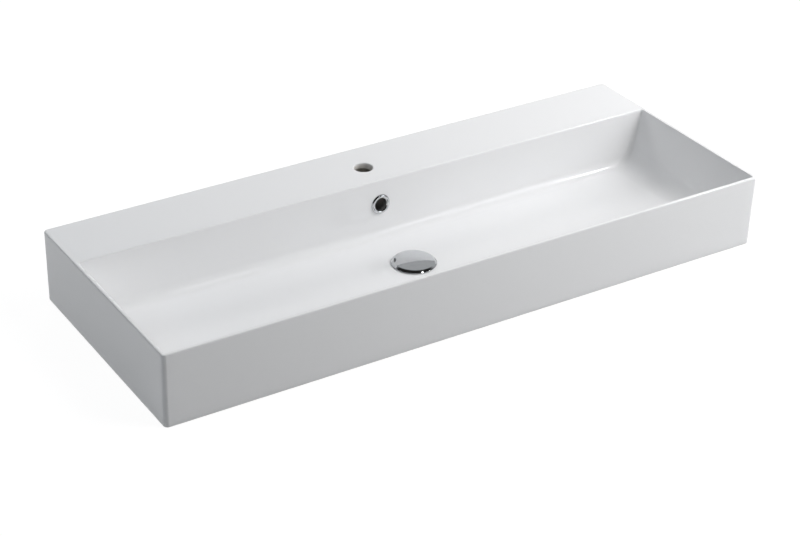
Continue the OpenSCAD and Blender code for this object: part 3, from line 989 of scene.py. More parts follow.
@dataclass
class Casting:
    """The ceramic casting: outside, rim, tap deck, bowl, hollow underside, overflow duct and waste boss."""

    width: float = 1200.0
    depth: float = 460.0
    height: float = 136.0
    corner: float = 8.0
    edge: float = 2.5
    foot_edge: float = 1.0
    rim: float = 6.5
    deck: float = 132.0
    skirt: float = 11.0
    wall: float = 9.0
    deck_wall: float = 12.0
    side_lean: float = 16.5
    end_lean: float = 3.5
    fall: float = 0.5
    side_round: float = 48.0
    end_round: float = 20.0
    floor: float = 24.0
    waste_y: float = -21.0
    rim_round: float = 2.0
    deck_round: float = 3.0
    corner_top: float = 3.5
    corner_foot: float = 15.0
    tap_y: float = 156.5
    tap_r: float = 17.5
    tap_round: float = 2.0
    overflow_z: float = 89.0
    overflow_r: float = 14.0
    waste_r: float = 23.0
    recess_r: float = 33.4
    recess_z: float = 21.5
    boss_r: float = 41.0
    boss_z: float = 2.0
    fixing_x: float = 140.0
    fixing_z: float = 88.0
    fixing_r: float = 6.5
    small_lip: float = 0.8
    duct_w: float = 58.0
    duct_back: float = 124.0
    duct_top: float = 117.0
    duct_skin: float = 7.0
    duct_round: float = 3.0
    channel_foot: float = 27.0
    leg_back: float = 112.0
    set_in_z: float = 19.0
    reach: float = 26.0
    waste_reach: float = 36.0
    fixing_reach: float = 10.0
    run_limit: float = 440.0

    def __post_init__(self) -> None:
        """Works out the stations, the bowl's slopes and the lines that they start from."""
        at, around = self.fixing_x, self.fixing_reach
        block = np.linspace(-self.reach, self.reach, HOLE_LINES)
        between = np.linspace(self.reach, at - around, 13)[1:-1]
        fixing = np.linspace(at - around, at + around, FIXING_LINES)
        rest = np.linspace(at + around, self.run_limit, 21)[1:]
        side = np.concatenate([between, fixing, rest])
        self.run = np.concatenate([-side[::-1], block, side])
        self.fixing_levels = np.linspace(self.fixing_z - around, self.fixing_z + around, FIXING_LINES)
        self.stations = Stations(self.run, np.linspace(0, 1, 41), self.run_limit)
        self.side = Slope(self.side_lean, self.side_round, self.fall, self.height)
        self.end = Slope(self.end_lean, self.end_round, self.fall, self.height)
        self.bowl_x = self.width / 2 - self.rim
        self.bowl_front = self.rim - self.depth / 2
        self.bowl_back = self.depth / 2 - self.deck
        self.overflow_y = self.bowl_back - (self.height - self.overflow_z) * math.tan(math.radians(self.end_lean))

    def _outside(self) -> tuple[Array, Array]:
        """Rings of the foot, the outer wall and the rounded top edge.

        Returns:
            Plan positions, rings by stations by x and y, and heights, rings by stations.
        """
        arc = np.linspace(0, np.pi / 2, EDGE_STEPS + 1)[1:]
        levels = np.concatenate([[8, 22, 40, 58, 70], self.fixing_levels, [106, 118, 128, 133.2]])
        low_arc = soft_lip(0, self.foot_edge, 3)
        wall = np.stack([np.zeros(len(levels)), levels], axis=1)
        straight = self.height - self.edge
        high_arc = np.stack([self.edge * (1 - np.cos(arc)), straight + self.edge * np.sin(arc)], axis=1)
        rows = np.concatenate([[[6.5, 0.0], [1.4, 0.0]], low_arc, wall, [[0.0, straight]], high_arc])
        inset, z = rows[:, :1], rows[:, 1:]
        radius = np.maximum(self.corner - inset, 0.8)
        plan = self.stations.lay(self.width / 2 - inset, inset - self.depth / 2, self.depth / 2 - inset, radius)
        return plan, np.broadcast_to(z, plan.shape[:2])

    def _rim_line(self) -> tuple[Array, Array, Array]:
        """How far the inner edge's round reaches back from the wall's line.

        For a round of radius e on a wall that leans by l the reach is e tan(45 - l/2).

        Returns:
            The round's radius, and its reach on the short sides and on the long sides, by station.
        """
        e = self.rim_round + (self.deck_round - self.rim_round) * self.stations.back_weight()
        short = e * math.tan(math.radians(45 - self.side_lean / 2))
        long = e * math.tan(math.radians(45 - self.end_lean / 2))
        return e, short, long

    def _flats(self) -> tuple[Array, Array]:
        """Flat rings of the rim and the tap deck, from the outer edge's round to the inner edge's.

        Returns:
            The rings' points in x and y, and their heights.
        """
        _, short, long = self._rim_line()
        outer = self.edge + 0.4
        back_out, back_in = self.depth / 2 - outer, self.bowl_back + self.deck_round * 0.95 + 0.4
        hole = np.linspace(self.tap_y + self.reach, self.tap_y - self.reach, HOLE_LINES)
        lines = np.concatenate([[back_out, 215, 202, 191], hole, [121, 112, 104, back_in]])
        t = ((back_out - lines) / (back_out - back_in))[:, None]
        blend = [
            (self.width / 2 - outer, self.bowl_x + short + 0.4),
            (outer - self.depth / 2, self.bowl_front - long - 0.4),
            (back_out, self.bowl_back + long + 0.4),
            (self.corner - outer, self.corner_top + 2.0),
        ]
        x, front, back, r = (a + t * (b - a) for a, b in blend)
        plan = self.stations.lay(x, front, back, r)
        return plan, np.full(plan.shape[:2], self.height)

    def _corner_radius(self, z: Array) -> Array:
        """Plan radius of the bowl's corners, which opens from the rim down to the floor."""
        down = np.clip((self.height - z) / (self.height - self.floor), 0, 1)
        return self.corner_top + (self.corner_foot - self.corner_top) * down**1.25

    def _inner_edge(self) -> tuple[Array, Array]:
        """Rings of the rounded inner edge.

        At a share b of the arc, the ring lies at run + reach - e sin(b a) and at the height top - e + e cos(b a),
        where a is 90 degrees less the wall's lean.

        Returns:
            The rings' points in x and y, and their heights.
        """
        e, short, long = self._rim_line()
        share = np.linspace(0, 1, 7)[:-1, None]
        w = self.stations.end_weight()
        a_side = share * math.radians(90 - self.side_lean)
        a_end = share * math.radians(90 - self.end_lean)
        x = self.bowl_x + short - e * np.sin(a_side)
        out = long - e * np.sin(a_end)
        z = self.height - e + e * ((1 - w) * np.cos(a_side) + w * np.cos(a_end))
        radius = self.corner_top + np.maximum(out, 0)
        return self.stations.lay(x, self.bowl_front - out, self.bowl_back + out, radius), z

    def _bowl_walls(self) -> tuple[Array, Array]:
        """Rings of the bowl's walls and of the rounds at their feet, down to where the floor begins.

        Each station has its own floor height, that of the floor's cone where its round begins. It starts from a
        guess, and the place that it gives is put back in three times. Heights go from there up by shares that
        grow as a square through the round and evenly on the wall.

        Returns:
            The rings' points in x and y, and their heights.
        """
        e, _, _ = self._rim_line()
        w = self.stations.end_weight()
        lean = self.side_lean + (self.end_lean - self.side_lean) * w
        top = self.height - e + e * np.sin(np.radians(lean))
        low = 34 * (np.arange(17) / 17) ** 2
        hole = np.linspace(38.2, 90.2, HOLE_LINES)
        climb = np.concatenate([low, [34, 36.2], hole, [95, 100.5, 105, 108.4]])
        share = (climb / climb[-1])[::-1, None]
        foot = np.full(len(w), self.floor + 3)
        for _ in range(4):
            z = foot + (top - foot) * share
            x = self.side.reach(self.bowl_x, z, foot)
            back = self.waste_y + self.end.reach(self.bowl_back - self.waste_y, z, foot)
            front = self.waste_y - self.end.reach(self.waste_y - self.bowl_front, z, foot)
            plan = self.stations.lay(x, front, back, self._corner_radius(z))
            away = np.hypot(plan[-1, :, 0], plan[-1, :, 1] - self.waste_y)
            foot = self.floor + math.tan(math.radians(self.fall)) * away
        return plan, z

    def _bowl_floor(self, last: Array) -> tuple[Array, Array]:
        """Rings of the floor, a shallow cone round the waste.

        Args:
            last: plan positions of the ring where the floor begins.

        Returns:
            Plan positions and heights, down to a circle a little outside the recess.
        """
        away = last - [0, self.waste_y]
        far = np.linalg.norm(away, axis=1)
        t = (np.linspace(0, 1, 13)[1:] ** 0.8)[:, None]
        distance = far * (1 - t) + (self.recess_r + 9) * t
        plan = [0, self.waste_y] + (away / far[:, None]) * distance[..., None]
        return plan, self.floor + math.tan(math.radians(self.fall)) * distance

    def _upper_skin(self, work: Patchwork) -> tuple[Array, dict[str, Array]]:
        """Adds the whole upper side.

        Args:
            work: the patchwork that takes the points and faces.

        Returns:
            The foot's first ring, and the rings round the openings left for the holes.
        """
        parts = [self._outside(), self._flats(), self._inner_edge(), self._bowl_walls()]
        parts.append(self._bowl_floor(parts[-1][0][-1]))
        counts = np.cumsum([0] + [len(z) for _, z in parts])
        plan = np.concatenate([p for p, _ in parts])
        z = np.concatenate([h for _, h in parts])
        edge = np.zeros(len(z))
        edge[counts[1] - EDGE_STEPS: counts[1]] = 1.0
        edge[counts[2]: counts[3]] = 0.8
        ids = work.add(np.concatenate([plan, z[..., None]], axis=-1), 1.0, edge[:, None])
        keep = np.ones((len(ids) - 1, ids.shape[1]), bool)
        back, at, around = self.run[::-1], self.fixing_x, self.fixing_reach
        middle = lines_from(back, self.reach, HOLE_LINES, RUN_END)
        levels = lines_from(z[: counts[1], 0], self.fixing_levels[0], FIXING_LINES)
        deck, bowl = (slice(first + LEAD, first + LEAD + HOLE_LINES) for first in (counts[1], counts[3]))
        spans = {
            "tap": (deck, middle),
            "overflow": (bowl, middle),
            "fixing_right": (levels, lines_from(back, at + around, FIXING_LINES, RUN_END)),
            "fixing_left": (levels, lines_from(back, around - at, FIXING_LINES, RUN_END)),
        }
        openings = open_blocks(ids, keep, spans)
        work.skin(ids, closed=True, keep=keep)
        openings["floor"] = ids[-1]
        return ids[0], openings

    def _ceiling(self, x: Array, y: Array) -> Array:
        """Height of the hollow's ceiling.

        It is the underside of the bowl, grown by the wall's thickness: the floor's cone plus the eighth-power
        mean of how far the rounds and walls rise above it on either axis, and no higher than the deck's
        underside.

        Args:
            x: places from side to side.
            y: places from front to back.

        Returns:
            The height at each place.
        """
        low = self.floor - self.wall
        side = Slope(self.side_lean, self.side_round + self.wall, self.fall, self.height)
        end = Slope(self.end_lean, self.end_round + self.wall, self.fall, self.height)
        wide = self.bowl_x + self.wall / math.cos(math.radians(self.side_lean))
        deep = self.wall / math.cos(math.radians(self.end_lean))
        tilt = math.tan(math.radians(self.fall))
        across = np.abs(x)
        rise_x = side.height(wide, low, across) - (low + across * tilt)
        along = y - self.waste_y
        back = end.height(self.bowl_back - self.waste_y + deep, low, np.abs(along))
        front = end.height(self.waste_y - self.bowl_front + deep, low, np.abs(along))
        rise_y = np.where(along > 0, back, front) - (low + np.abs(along) * tilt)
        rise = (np.clip(rise_x, 0, None) ** 8 + np.clip(rise_y, 0, None) ** 8) ** 0.125
        return np.minimum(low + tilt * np.hypot(across, along) + rise, self.height - self.deck_wall)

    def _under_lines(self) -> tuple[Array, Array, dict[str, tuple[slice, slice]]]:
        """Grid lines of the hollow's ceiling in x and in y, and the blocks that the holes take.

        Returns:
            The lines in x, the lines in y, and each hole's block as its lines in y and in x.
        """
        inner_x, inner_y = self.width / 2 - self.skirt, self.depth / 2 - self.skirt
        tail = np.array([452, 466, 480, 492, 502, 511, 520, 529, 538, 547, 556, 565, 573, 581, inner_x])
        x = np.concatenate([-tail[::-1], self.run, tail])
        lean = math.tan(math.radians(self.end_lean))
        deep = self.wall / math.cos(math.radians(self.end_lean))
        top = self.height - self.deck_wall
        mouth = np.linspace(self.overflow_z - self.reach, self.overflow_z + self.reach, MOUTH_LINES)
        low = [36, 40, 45, 50, 56.5]
        wall_y = self.bowl_back + deep - (self.height - np.concatenate([low, mouth, [119.5, top]])) * lean
        front = np.array([-219, -214, -208, -202, -195, -187, -178, -168, -150, -130, -110, -90, -75])
        waste = np.linspace(self.waste_y - self.waste_reach, self.waste_y + self.waste_reach, WASTE_LINES)
        between = np.array([28, 40, 50, 60, 70, 78, 85, 91, 95, 98])
        tap = np.linspace(self.tap_y - self.reach, self.tap_y + self.reach, HOLE_LINES)
        y = np.concatenate([front, waste, between, wall_y, [112, 121], tap, [192, 205, inner_y]])
        centre = lines_from(x, -self.reach, HOLE_LINES)
        spans = {
            "waste": (lines_from(y, waste[0], WASTE_LINES), slice(centre.start - 2, centre.stop + 2)),
            "overflow": (lines_from(y, wall_y[len(low)], MOUTH_LINES), centre),
            "tap": (lines_from(y, tap[0], HOLE_LINES), centre),
        }
        return x, y, spans

    def _under_skin(self, work: Patchwork) -> tuple[Array, dict[str, Array]]:
        """Adds the hollow: its ceiling as a height field, and the skirt's inner wall down to the foot.

        Args:
            work: the patchwork that takes the points and faces.

        Returns:
            The foot's inner ring, and the rings round the openings left for the holes.
        """
        x, y, spans = self._under_lines()
        gy, gx = np.meshgrid(y, x, indexing="ij")
        z = self._ceiling(gx, gy)
        ids = work.add(np.stack([gx, gy, z], axis=-1), 0.0)
        keep = np.ones((len(y) - 1, len(x)), bool)
        openings = open_blocks(ids, keep, spans)
        work.skin(ids, keep=keep)
        loop = rim_of(ids)
        every = np.concatenate(work.points)[loop]
        levels = np.concatenate([[0, 20, 40, 60], self.fixing_levels, [110]])
        share = levels / (self.height - self.deck_wall)
        lower = np.broadcast_to(every, (len(share),) + every.shape).copy()
        lower[..., 2] = share[:, None] * every[:, 2]
        walls = np.concatenate([work.add(lower, 0.0), loop[None]])
        keep = np.ones((len(walls) - 1, len(loop)), bool)
        back, start, at, around = x[::-1], len(x) + len(y) - 2, self.fixing_x, self.fixing_reach
        rows = lines_from(levels, self.fixing_levels[0], FIXING_LINES)
        sides = {
            "fixing_right": (rows, lines_from(back, at + around, FIXING_LINES, start)),
            "fixing_left": (rows, lines_from(back, around - at, FIXING_LINES, start)),
        }
        openings.update(open_blocks(walls, keep, sides))
        work.skin(walls, closed=True, keep=keep)
        return walls[0], openings

    def _holes(self, work: Patchwork, above: dict[str, Array], below: dict[str, Array]) -> None:
        """Sews the tap hole, the overflow hole, the two fixing holes and the waste hole.

        Args:
            work: the patchwork that takes the points and faces.
            above: rings round the openings on the upper side and the outside.
            below: rings round the openings in the hollow.
        """
        x, y, z = np.eye(3)
        r, lip = self.tap_r, self.tap_round
        foot = [[r, 7], [r, 11], [r + 1, self.deck_wall]]
        hole = np.concatenate([[[r + lip + 0.5, 0]], soft_lip(r, lip, 6), foot])
        work.bore(
            above["tap"], below["tap"], np.array([0, self.tap_y, self.height]), x, y, hole,
            [1, 1, 1, 1, 1, 1, 1, 0.4, 0, 0, 0], [0, 0, 0.3, 0.7, 1, 0.7, 0.3, 0, 0, 0, 0], 96,
        )
        lean = math.radians(self.end_lean)
        up = np.array([0, math.sin(lean), math.cos(lean)])
        r, lip = self.overflow_r, self.small_lip
        hole = np.concatenate([[[r + 1.2, 0]], soft_lip(r, lip, 3), [[r, 5], [r, self.wall]]])
        middle = np.array([0, self.overflow_y, self.overflow_z])
        work.bore(above["overflow"], below["overflow"], middle, x, up, hole, [1, 1, 1, 1, 1, 0.4, 0])
        r = self.fixing_r
        hole = np.concatenate([soft_lip(r, lip, 3), [[r, self.skirt - lip], [r + lip, self.skirt]]])
        for name, side in (("fixing_right", 1), ("fixing_left", -1)):
            at = np.array([side * self.fixing_x, self.depth / 2, self.fixing_z])
            work.bore(above[name], below[name], at, -x, z, hole, [1, 1, 1, 0.6, 0, 0], 0.0, 48)
        self._waste_hole(work, above["floor"], below["waste"])

    def _waste_hole(self, work: Patchwork, mouth: Array, foot: Array) -> None:
        """Sews the flange's recess and the waste hole between the floor and the ceiling below it.

        Args:
            work: the patchwork that takes the points and faces.
            mouth: the ring where the floor ends.
            foot: the ring round the opening below it.
        """
        x, y, _ = np.eye(3)
        tilt = math.tan(math.radians(self.fall))
        brow, soft = 1.6, 0.9
        start = self.floor + tilt * (self.recess_r + brow)
        wide = np.array([self.recess_r + 6, self.recess_r + brow + 0.6])
        ahead = np.stack([wide, self.floor + tilt * wide], axis=1)
        shoulder = soft_lip(self.recess_r, brow, 5, start, -1)
        corner = np.linspace(0, np.pi / 2, 4)
        valley = np.stack(
            [self.recess_r - soft * (1 - np.cos(corner)), self.recess_z + soft * (1 - np.sin(corner))], axis=1
        )
        lip = soft_lip(self.waste_r, 0.6, 3, self.recess_z, -1)
        under = self.floor - self.wall + tilt * self.waste_r
        rows = np.concatenate([ahead, shoulder, valley, lip, [[self.waste_r, 18], [self.waste_r, under]]])
        profile = np.stack([rows[:, 0], self.floor - rows[:, 1]], axis=1)
        glaze = np.ones(len(rows))
        glaze[-2:] = [0.5, 0.0]
        work.bore(mouth, foot, np.array([0, self.waste_y, self.floor]), x, y, profile, glaze, 0.0, 120)

    def _boss(self, work: Patchwork) -> None:
        """Adds the waste boss, a turned ring that stands on the floor's underside and flares into it.

        Args:
            work: the patchwork that takes the points and faces.
        """
        inner, outer, foot, top = self.waste_r + 0.2, self.boss_r, self.boss_z, self.set_in_z
        outline = [[inner, foot], [outer, foot], [outer, 12.0], [outer + 4, 15.4], [outer + 4, top], [inner, top]]
        ring = rounded(outline, [0.8, 1.6, 6.0, 0.3, 0.3, 0.3], 5)
        work.spin(ring, (0.0, self.waste_y, 0.0), glaze=0.0)

    def _duct_tray(self, work: Patchwork) -> None:
        """Adds the upper part of the overflow duct, a tray stuck to the back of the bowl's back wall.

        Its rings are rounded rectangles of x and z that go back from the wall, turn in over the back and come
        forward again as the channel.

        Args:
            work: the patchwork that takes the points and faces.
        """
        half, skin, bend = self.duct_w / 2, self.duct_skin, self.duct_round
        low, high = self.boss_z, self.duct_top
        lean = math.tan(math.radians(self.end_lean))
        rim = self.bowl_back + self.wall - 1.2
        outer = rounded([[-half, low], [half, low], [half, high], [-half, high]], 4.0)
        side, sill, head = half - skin, self.channel_foot, high - skin
        inner = rounded([[-side, sill], [side, sill], [side, head], [-side, head]], 2.5)
        front_out = rim - (self.height - outer[:, 1]) * lean
        front_in = rim - (self.height - inner[:, 1]) * lean
        rings, depths = [outer, outer], [front_out, np.full(len(outer), self.duct_back - bend)]
        centre = np.array([0, (low + high) / 2])
        size = np.array([half, (high - low) / 2])
        for turn in np.linspace(0, np.pi / 2, 5)[1:]:
            rings.append(centre + (outer - centre) * (1 - bend * (1 - np.cos(turn)) / size))
            depths.append(np.full(len(outer), self.duct_back - bend + bend * np.sin(turn)))
        shell = [np.stack([r[:, 0], d, r[:, 1]], axis=-1) for r, d in zip(rings, depths)]
        ids = work.skin(work.add(np.array(shell), 0.0), closed=True)
        work.cap(ids[-1], np.array([0, self.duct_back, centre[1]]), 0.0)
        back = np.full(len(inner), self.duct_back - skin)
        hollow = np.array([np.stack([inner[:, 0], d, inner[:, 1]], axis=-1) for d in (front_in, back)])
        channel = work.skin(work.add(hollow, 0.0), closed=True)
        work.cap(channel[-1], np.array([0, self.duct_back - skin, (sill + head) / 2]), 0.0)
        work.skin(np.stack([ids[0], channel[0]]), closed=True)

    def _duct_leg(self, work: Patchwork) -> None:
        """Adds the lower part of the overflow duct, a leg under the floor from the tray to the boss.

        Its rings are rounded rectangles of x and y, from the bottom up. It is a little narrower and higher than
        the tray, so that no two faces lie in one plane, and it ends inside the boss.

        Args:
            work: the patchwork that takes the points and faces.
        """
        step = 0.3
        half, low, top = self.duct_w / 2 - step, self.boss_z + step, self.set_in_z
        near, far = self.waste_y + self.waste_r + 3, self.leg_back
        leg = rounded([[-half, near], [half, near], [half, far], [-half, far]], 4.0)
        middle = np.array([0, (near + far) / 2])
        size = np.array([half, (far - near) / 2])
        rows = np.concatenate([soft_lip(0, self.duct_round, 4, low), [[0, 12], [0, 15], [0, top]]])
        body = middle + (leg - middle) * (1 - rows[:, None, :1] / size)
        solid = np.concatenate([body, np.broadcast_to(rows[:, None, 1:], body.shape[:2] + (1,))], axis=-1)
        ids = work.skin(work.add(solid, 0.0), closed=True)
        work.cap(ids[0], np.array([0, middle[1], low]), 0.0)
        work.cap(ids[-1], np.array([0, middle[1], top]), 0.0)

    def build(self, shop: Workshop) -> None:
        """Builds and dresses the casting.

        Args:
            shop: the workshop that dresses the pieces.
        """
        work = Patchwork()
        foot, above = self._upper_skin(work)
        inside, below = self._under_skin(work)
        x, y, _ = np.eye(3)
        work.sew(foot, inside, np.zeros(3), x / self.width, y / self.depth)
        self._holes(work, above, below)
        self._boss(work)
        self._duct_tray(work)
        self._duct_leg(work)
        shop.fit(work.make("basin_casting"), Slot.CERAMIC, BASIN, "basin_body")


def thread_depth(turn: Array, height: Array, pitch: float, depth: float, low: float, high: float) -> Array:
    """How far a screw thread lies below its crest.

    The phase is height over pitch less the share of a turn. The flanks are straight, the crest and the root are
    narrow flats, and the thread runs out over half a pitch at both ends.

    Args:
        turn: angles round the axis in radians.
        height: heights along it.
        pitch: height of one turn.
        depth: depth of the root.
        low: where the thread begins.
        high: where it ends.

    Returns:
        Depths, none outside the thread.
    """
    phase = np.mod(height / pitch - turn / (2 * np.pi), 1.0)
    flank = np.clip((np.abs(phase - 0.5) * 2 - 0.12) / 0.76, 0, 1)
    fade = np.clip(np.minimum(height - low, high - height) / (pitch / 2), 0, 1)
    return depth * flank * fade


def turned(axis: Sequence[float], radius: Array, turn: Array, height: Array) -> Array:
    """Points at a radius from an upright axis, at an angle round it and at a height above its foot.

    Args:
        axis: x and y of the axis, and the height of its foot.
        radius: radius of each point.
        turn: angle of each point.
        height: height of each point above the foot.

    Returns:
        Points as x, y, z, in the radii's shape.
    """
    x, y, foot = axis
    height = np.broadcast_to(height, radius.shape)
    return np.stack([x + radius * np.cos(turn), y + radius * np.sin(turn), foot + height], axis=-1)


@dataclass
class OverflowFitting:
    """The chromed overflow ring with its spigot, and the rubber sleeve that holds it in the bowl's wall."""

    centre: Point = (0.0, 95.125, 89.0)
    lean: float = 3.5
    ring_r: float = 19.0
    bore_r: float = 11.8
    proud: float = 3.5
    spigot_r: float = 12.8
    sleeve_r: float = 14.0
    length: float = 7.0

    def _across(self) -> tuple[Array, Array]:
        """The two directions in the wall's plane; their cross product points out of the wall."""
        lean = math.radians(self.lean)
        return np.array([1.0, 0.0, 0.0]), np.array([0.0, math.sin(lean), math.cos(lean)])

    def build(self, shop: Workshop) -> None:
        """Turns both pieces.

        The ring's section is half an ellipse on the wall, from its outer radius in to its bore, with a spigot.

        Args:
            shop: the workshop that dresses the pieces.
        """
        right, up = self._across()
        middle, half = (self.ring_r + self.bore_r) / 2, (self.ring_r - self.bore_r) / 2
        angle = np.radians(np.linspace(0, 180, 29))
        bead = np.stack([middle + half * np.cos(angle), self.proud * np.sin(angle)], axis=1)
        end = -self.length
        spigot = [
            [self.bore_r, -2.0], [self.bore_r, end + 0.4], [self.bore_r + 0.4, end], [self.spigot_r - 0.3, end],
            [self.spigot_r, end + 0.3], [self.spigot_r, -0.05], [self.ring_r - 0.3, 0.0],
        ]
        ring = Patchwork()
        ring.spin(np.concatenate([bead, spigot]), self.centre, right, up, 120)
        shop.fit(ring.make("overflow_trim_ring"), Slot.CHROME, BASIN, "overflow_ring")
        sleeve = Patchwork()
        outline = [[self.spigot_r, 0.0], [self.sleeve_r, 0.0], [self.sleeve_r, end], [self.spigot_r, end]]
        sleeve.spin(rounded(outline, 0.25, 3), self.centre, right, up, 96)
        shop.fit(sleeve.make("overflow_rubber_sleeve"), Slot.RUBBER, BASIN, "overflow_sleeve")


@dataclass
class WasteFitting:
    """The waste body with its flange, seat, slots, thread and spider, and what clamps it to the casting."""

    axis: Point = (0.0, -21.0, 0.0)
    bore_r: float = 18.0
    crest_r: float = 20.95
    groove_r: float = 20.15
    foot: float = -55.0
    groove: tuple[float, float] = (-25.0, -21.0)
    pitch: float = 2.309
    thread: float = 1.15
    thread_top: float = 7.0
    slot_half: float = 11.0
    slot_z: tuple[float, float] = (9.0, 17.0)
    boss_r: float = 11.0
    boss_bore_r: float = 8.0
    boss_z: tuple[float, float] = (-8.0, 0.0)
    spoke: float = 3.0
    cone_r: float = 30.0
    nut_flats: float = 56.0
    nut_z: tuple[float, float] = (-15.5, -6.5)
    quarter: int = 24
    slot_steps: int = 8
    slot_rows: int = 5

    def _from_slot(self) -> Array:
        """Steps from each station to the middle of the nearest slot, half a quarter at the most."""
        half = self.quarter // 2
        return np.mod(np.arange(4 * self.quarter) + half, self.quarter) - half

    def _stations(self, radius: Array) -> Array:
        """Angles of the stations on rings of the given radii.

        Of the steps of each quarter, two in three lie across a slot and the others on the bar beside it. The
        slot's edges stand at the arc sine of its half width over the radius, so that its sides are flat.

        Args:
            radius: radius of each ring.

        Returns:
            Angles, rings by stations.
        """
        near, wide = self._from_slot(), self.slot_steps
        far = np.abs(near)
        edge = np.arcsin(np.clip(self.slot_half / radius, 0, 1))[:, None]
        bar = edge + (np.pi / 4 - edge) * (far - wide) / (self.quarter // 2 - wide)
        offset = np.where(far <= wide, edge * far / wide, bar) * np.sign(near)
        return np.round((np.arange(4 * self.quarter) - near) / self.quarter) * np.pi / 2 + offset

    def _outline(self) -> tuple[Array, int, int]:
        """The body's outline, outside upwards, over the flange and down the bore.

        Returns:
            Rows of radius and height, and the numbers of the first slot row outside and of the first inside.
        """
        low, high = self.slot_z
        screw = np.arange(self.foot + 0.8, self.groove[0] - 0.2, self.pitch / 8)
        upper = np.arange(self.groove[1] + 0.5, self.thread_top, self.pitch / 8)
        slot = np.linspace(low, high, self.slot_rows)
        flange = rounded(
            [[self.crest_r, 18.5], [self.crest_r, 19.95], [22.0, 21.0], [22.0, 23.0], [32.5, 23.0], [31.5, 25.0],
             [22.0, 25.0], [self.bore_r, 21.0], [self.bore_r, 19.0]],
            [1, 0.5, 0.4, 0.3, 0.3, 0.9, 0.6, 1.0, 1], 4, closed=False,
        )
        crest, bore, foot, (start, end) = self.crest_r, self.bore_r, self.foot, self.groove
        up = [
            [[bore + 0.6, foot], [crest - 1.4, foot], [crest - 1.1, foot + 0.3]],
            [[crest, z] for z in screw],
            [[crest, start], [self.groove_r, start + 0.4], [self.groove_r, end - 0.4], [crest, end]],
            [[crest, z] for z in upper],
            [[crest, z] for z in slot],
        ]
        down = [
            [[bore, z] for z in slot[::-1]],
            [[bore, z] for z in (4.0, -4.0, -12.0, -24.0, -38.0, -50.0, foot + 0.6)],
        ]
        rows = np.concatenate([np.asarray(part, float) for part in up + [flange] + down])
        outside = sum(len(part) for part in up)
        return rows, outside - self.slot_rows, outside + len(flange)

    def _body(self) -> Patchwork:
        """The body: the turned outline with its thread, the slots cut through it, and the spider.

        Returns:
            The finished patchwork.
        """
        work = Patchwork()
        rows, outside, inside = self._outline()
        turn = self._stations(rows[:, 0])
        z = np.broadcast_to(rows[:, 1:], turn.shape)
        screw = np.arange(len(rows))[:, None] < outside
        depth = thread_depth(turn, z, self.pitch, self.thread, self.foot + 0.6, self.groove[0])
        depth = depth + thread_depth(turn, z, self.pitch, self.thread, self.groove[1], self.thread_top)
        radius = rows[:, :1] - depth * (screw & (rows[:, :1] > self.crest_r - 0.01))
        ids = work.add(turned(self.axis, radius, turn, z))
        near, wide, tall = self._from_slot(), self.slot_steps, self.slot_rows
        keep = np.ones(ids.shape, bool)
        for start in (outside, inside):
            keep[start: start + tall - 1] &= (near < -wide) | (near >= wide)
        work.skin(np.concatenate([ids, ids[:1]]), closed=True, keep=keep)
        for corner in range(4):
            columns = np.mod(np.arange(-wide, wide + 1) + self.quarter * corner, 4 * self.quarter)
            outer = ids[outside: outside + tall][:, columns]
            inner = ids[inside: inside + tall][::-1][:, columns]
            work.skin(np.stack([rim_of(outer), rim_of(inner)]), closed=True)
        self._spider(work)
        return work

    def _spider(self, work: Patchwork) -> None:
        """Adds the boss and the four spokes that carry the cartridge.

        Args:
            work: the patchwork that takes the points and faces.
        """
        low, high = self.boss_z
        boss = [[self.boss_bore_r, low], [self.boss_r, low], [self.boss_r, high], [self.boss_bore_r, high]]
        work.spin(rounded(boss, [0.4, 0.8, 0.8, 0.4], 4), self.axis)
        half = self.spoke / 2
        section = rounded([[-half, low + 0.6], [half, low + 0.6], [half, high - 0.6], [-half, high - 0.6]], 0.6, 4)
        reach = np.array([self.boss_r - 0.6, self.bore_r + 0.5])
        for corner in range(4):
            angle = np.pi / 4 + corner * np.pi / 2
            along = np.array([math.cos(angle), math.sin(angle), 0.0])
            side = np.array([-math.sin(angle), math.cos(angle), 0.0])
            ring = self.axis + section[:, :1] * side + section[:, 1:] * np.array([0.0, 0.0, 1.0])
            work.loft(ring + reach[:, None, None] * along)

    def build(self, shop: Workshop) -> None:
        """Builds the body, both rubber seals, the washer and the nut.

        Args:
            shop: the workshop that dresses the pieces.
        """
        shop.fit(self._body().make("waste_flange_body", 28.0), Slot.CHROME, BASIN, "waste_body")
        low, high = self.nut_z
        cone = [
            [self.crest_r, -5.0], [self.cone_r, -5.0], [self.cone_r, -1.5], [23.0, 2.0], [22.94, 3.5],
            [self.crest_r, 3.5],
        ]
        ring = [[23, 21.5], [32.5, 21.5], [32.5, 23], [23, 23]]
        disc = [[self.crest_r, high], [self.cone_r, high], [self.cone_r, -5], [self.crest_r, -5]]
        for name, node, slot, outline, radii in (
            ("waste_flange_seal", "flange_seal", Slot.RUBBER, ring, 0.4),
            ("waste_cone_seal", "cone_seal", Slot.RUBBER, cone, [0.3, 0.9, 0.9, 0.02, 0.25, 0.25]),
            ("waste_slip_washer", "slip_washer", Slot.PLASTIC, disc, 0.35),
        ):
            work = Patchwork()
            work.spin(rounded(outline, radii, 4), self.axis)
            shop.fit(work.make(name), slot, BASIN, node)
        nut = Patchwork()
        nut.spin(hexagon_rows(self.nut_flats, self.crest_r, low, high), self.axis, flats=self.nut_flats)
        shop.fit(nut.make("waste_back_nut", 20.0), Slot.BRASS, BASIN, "back_nut")


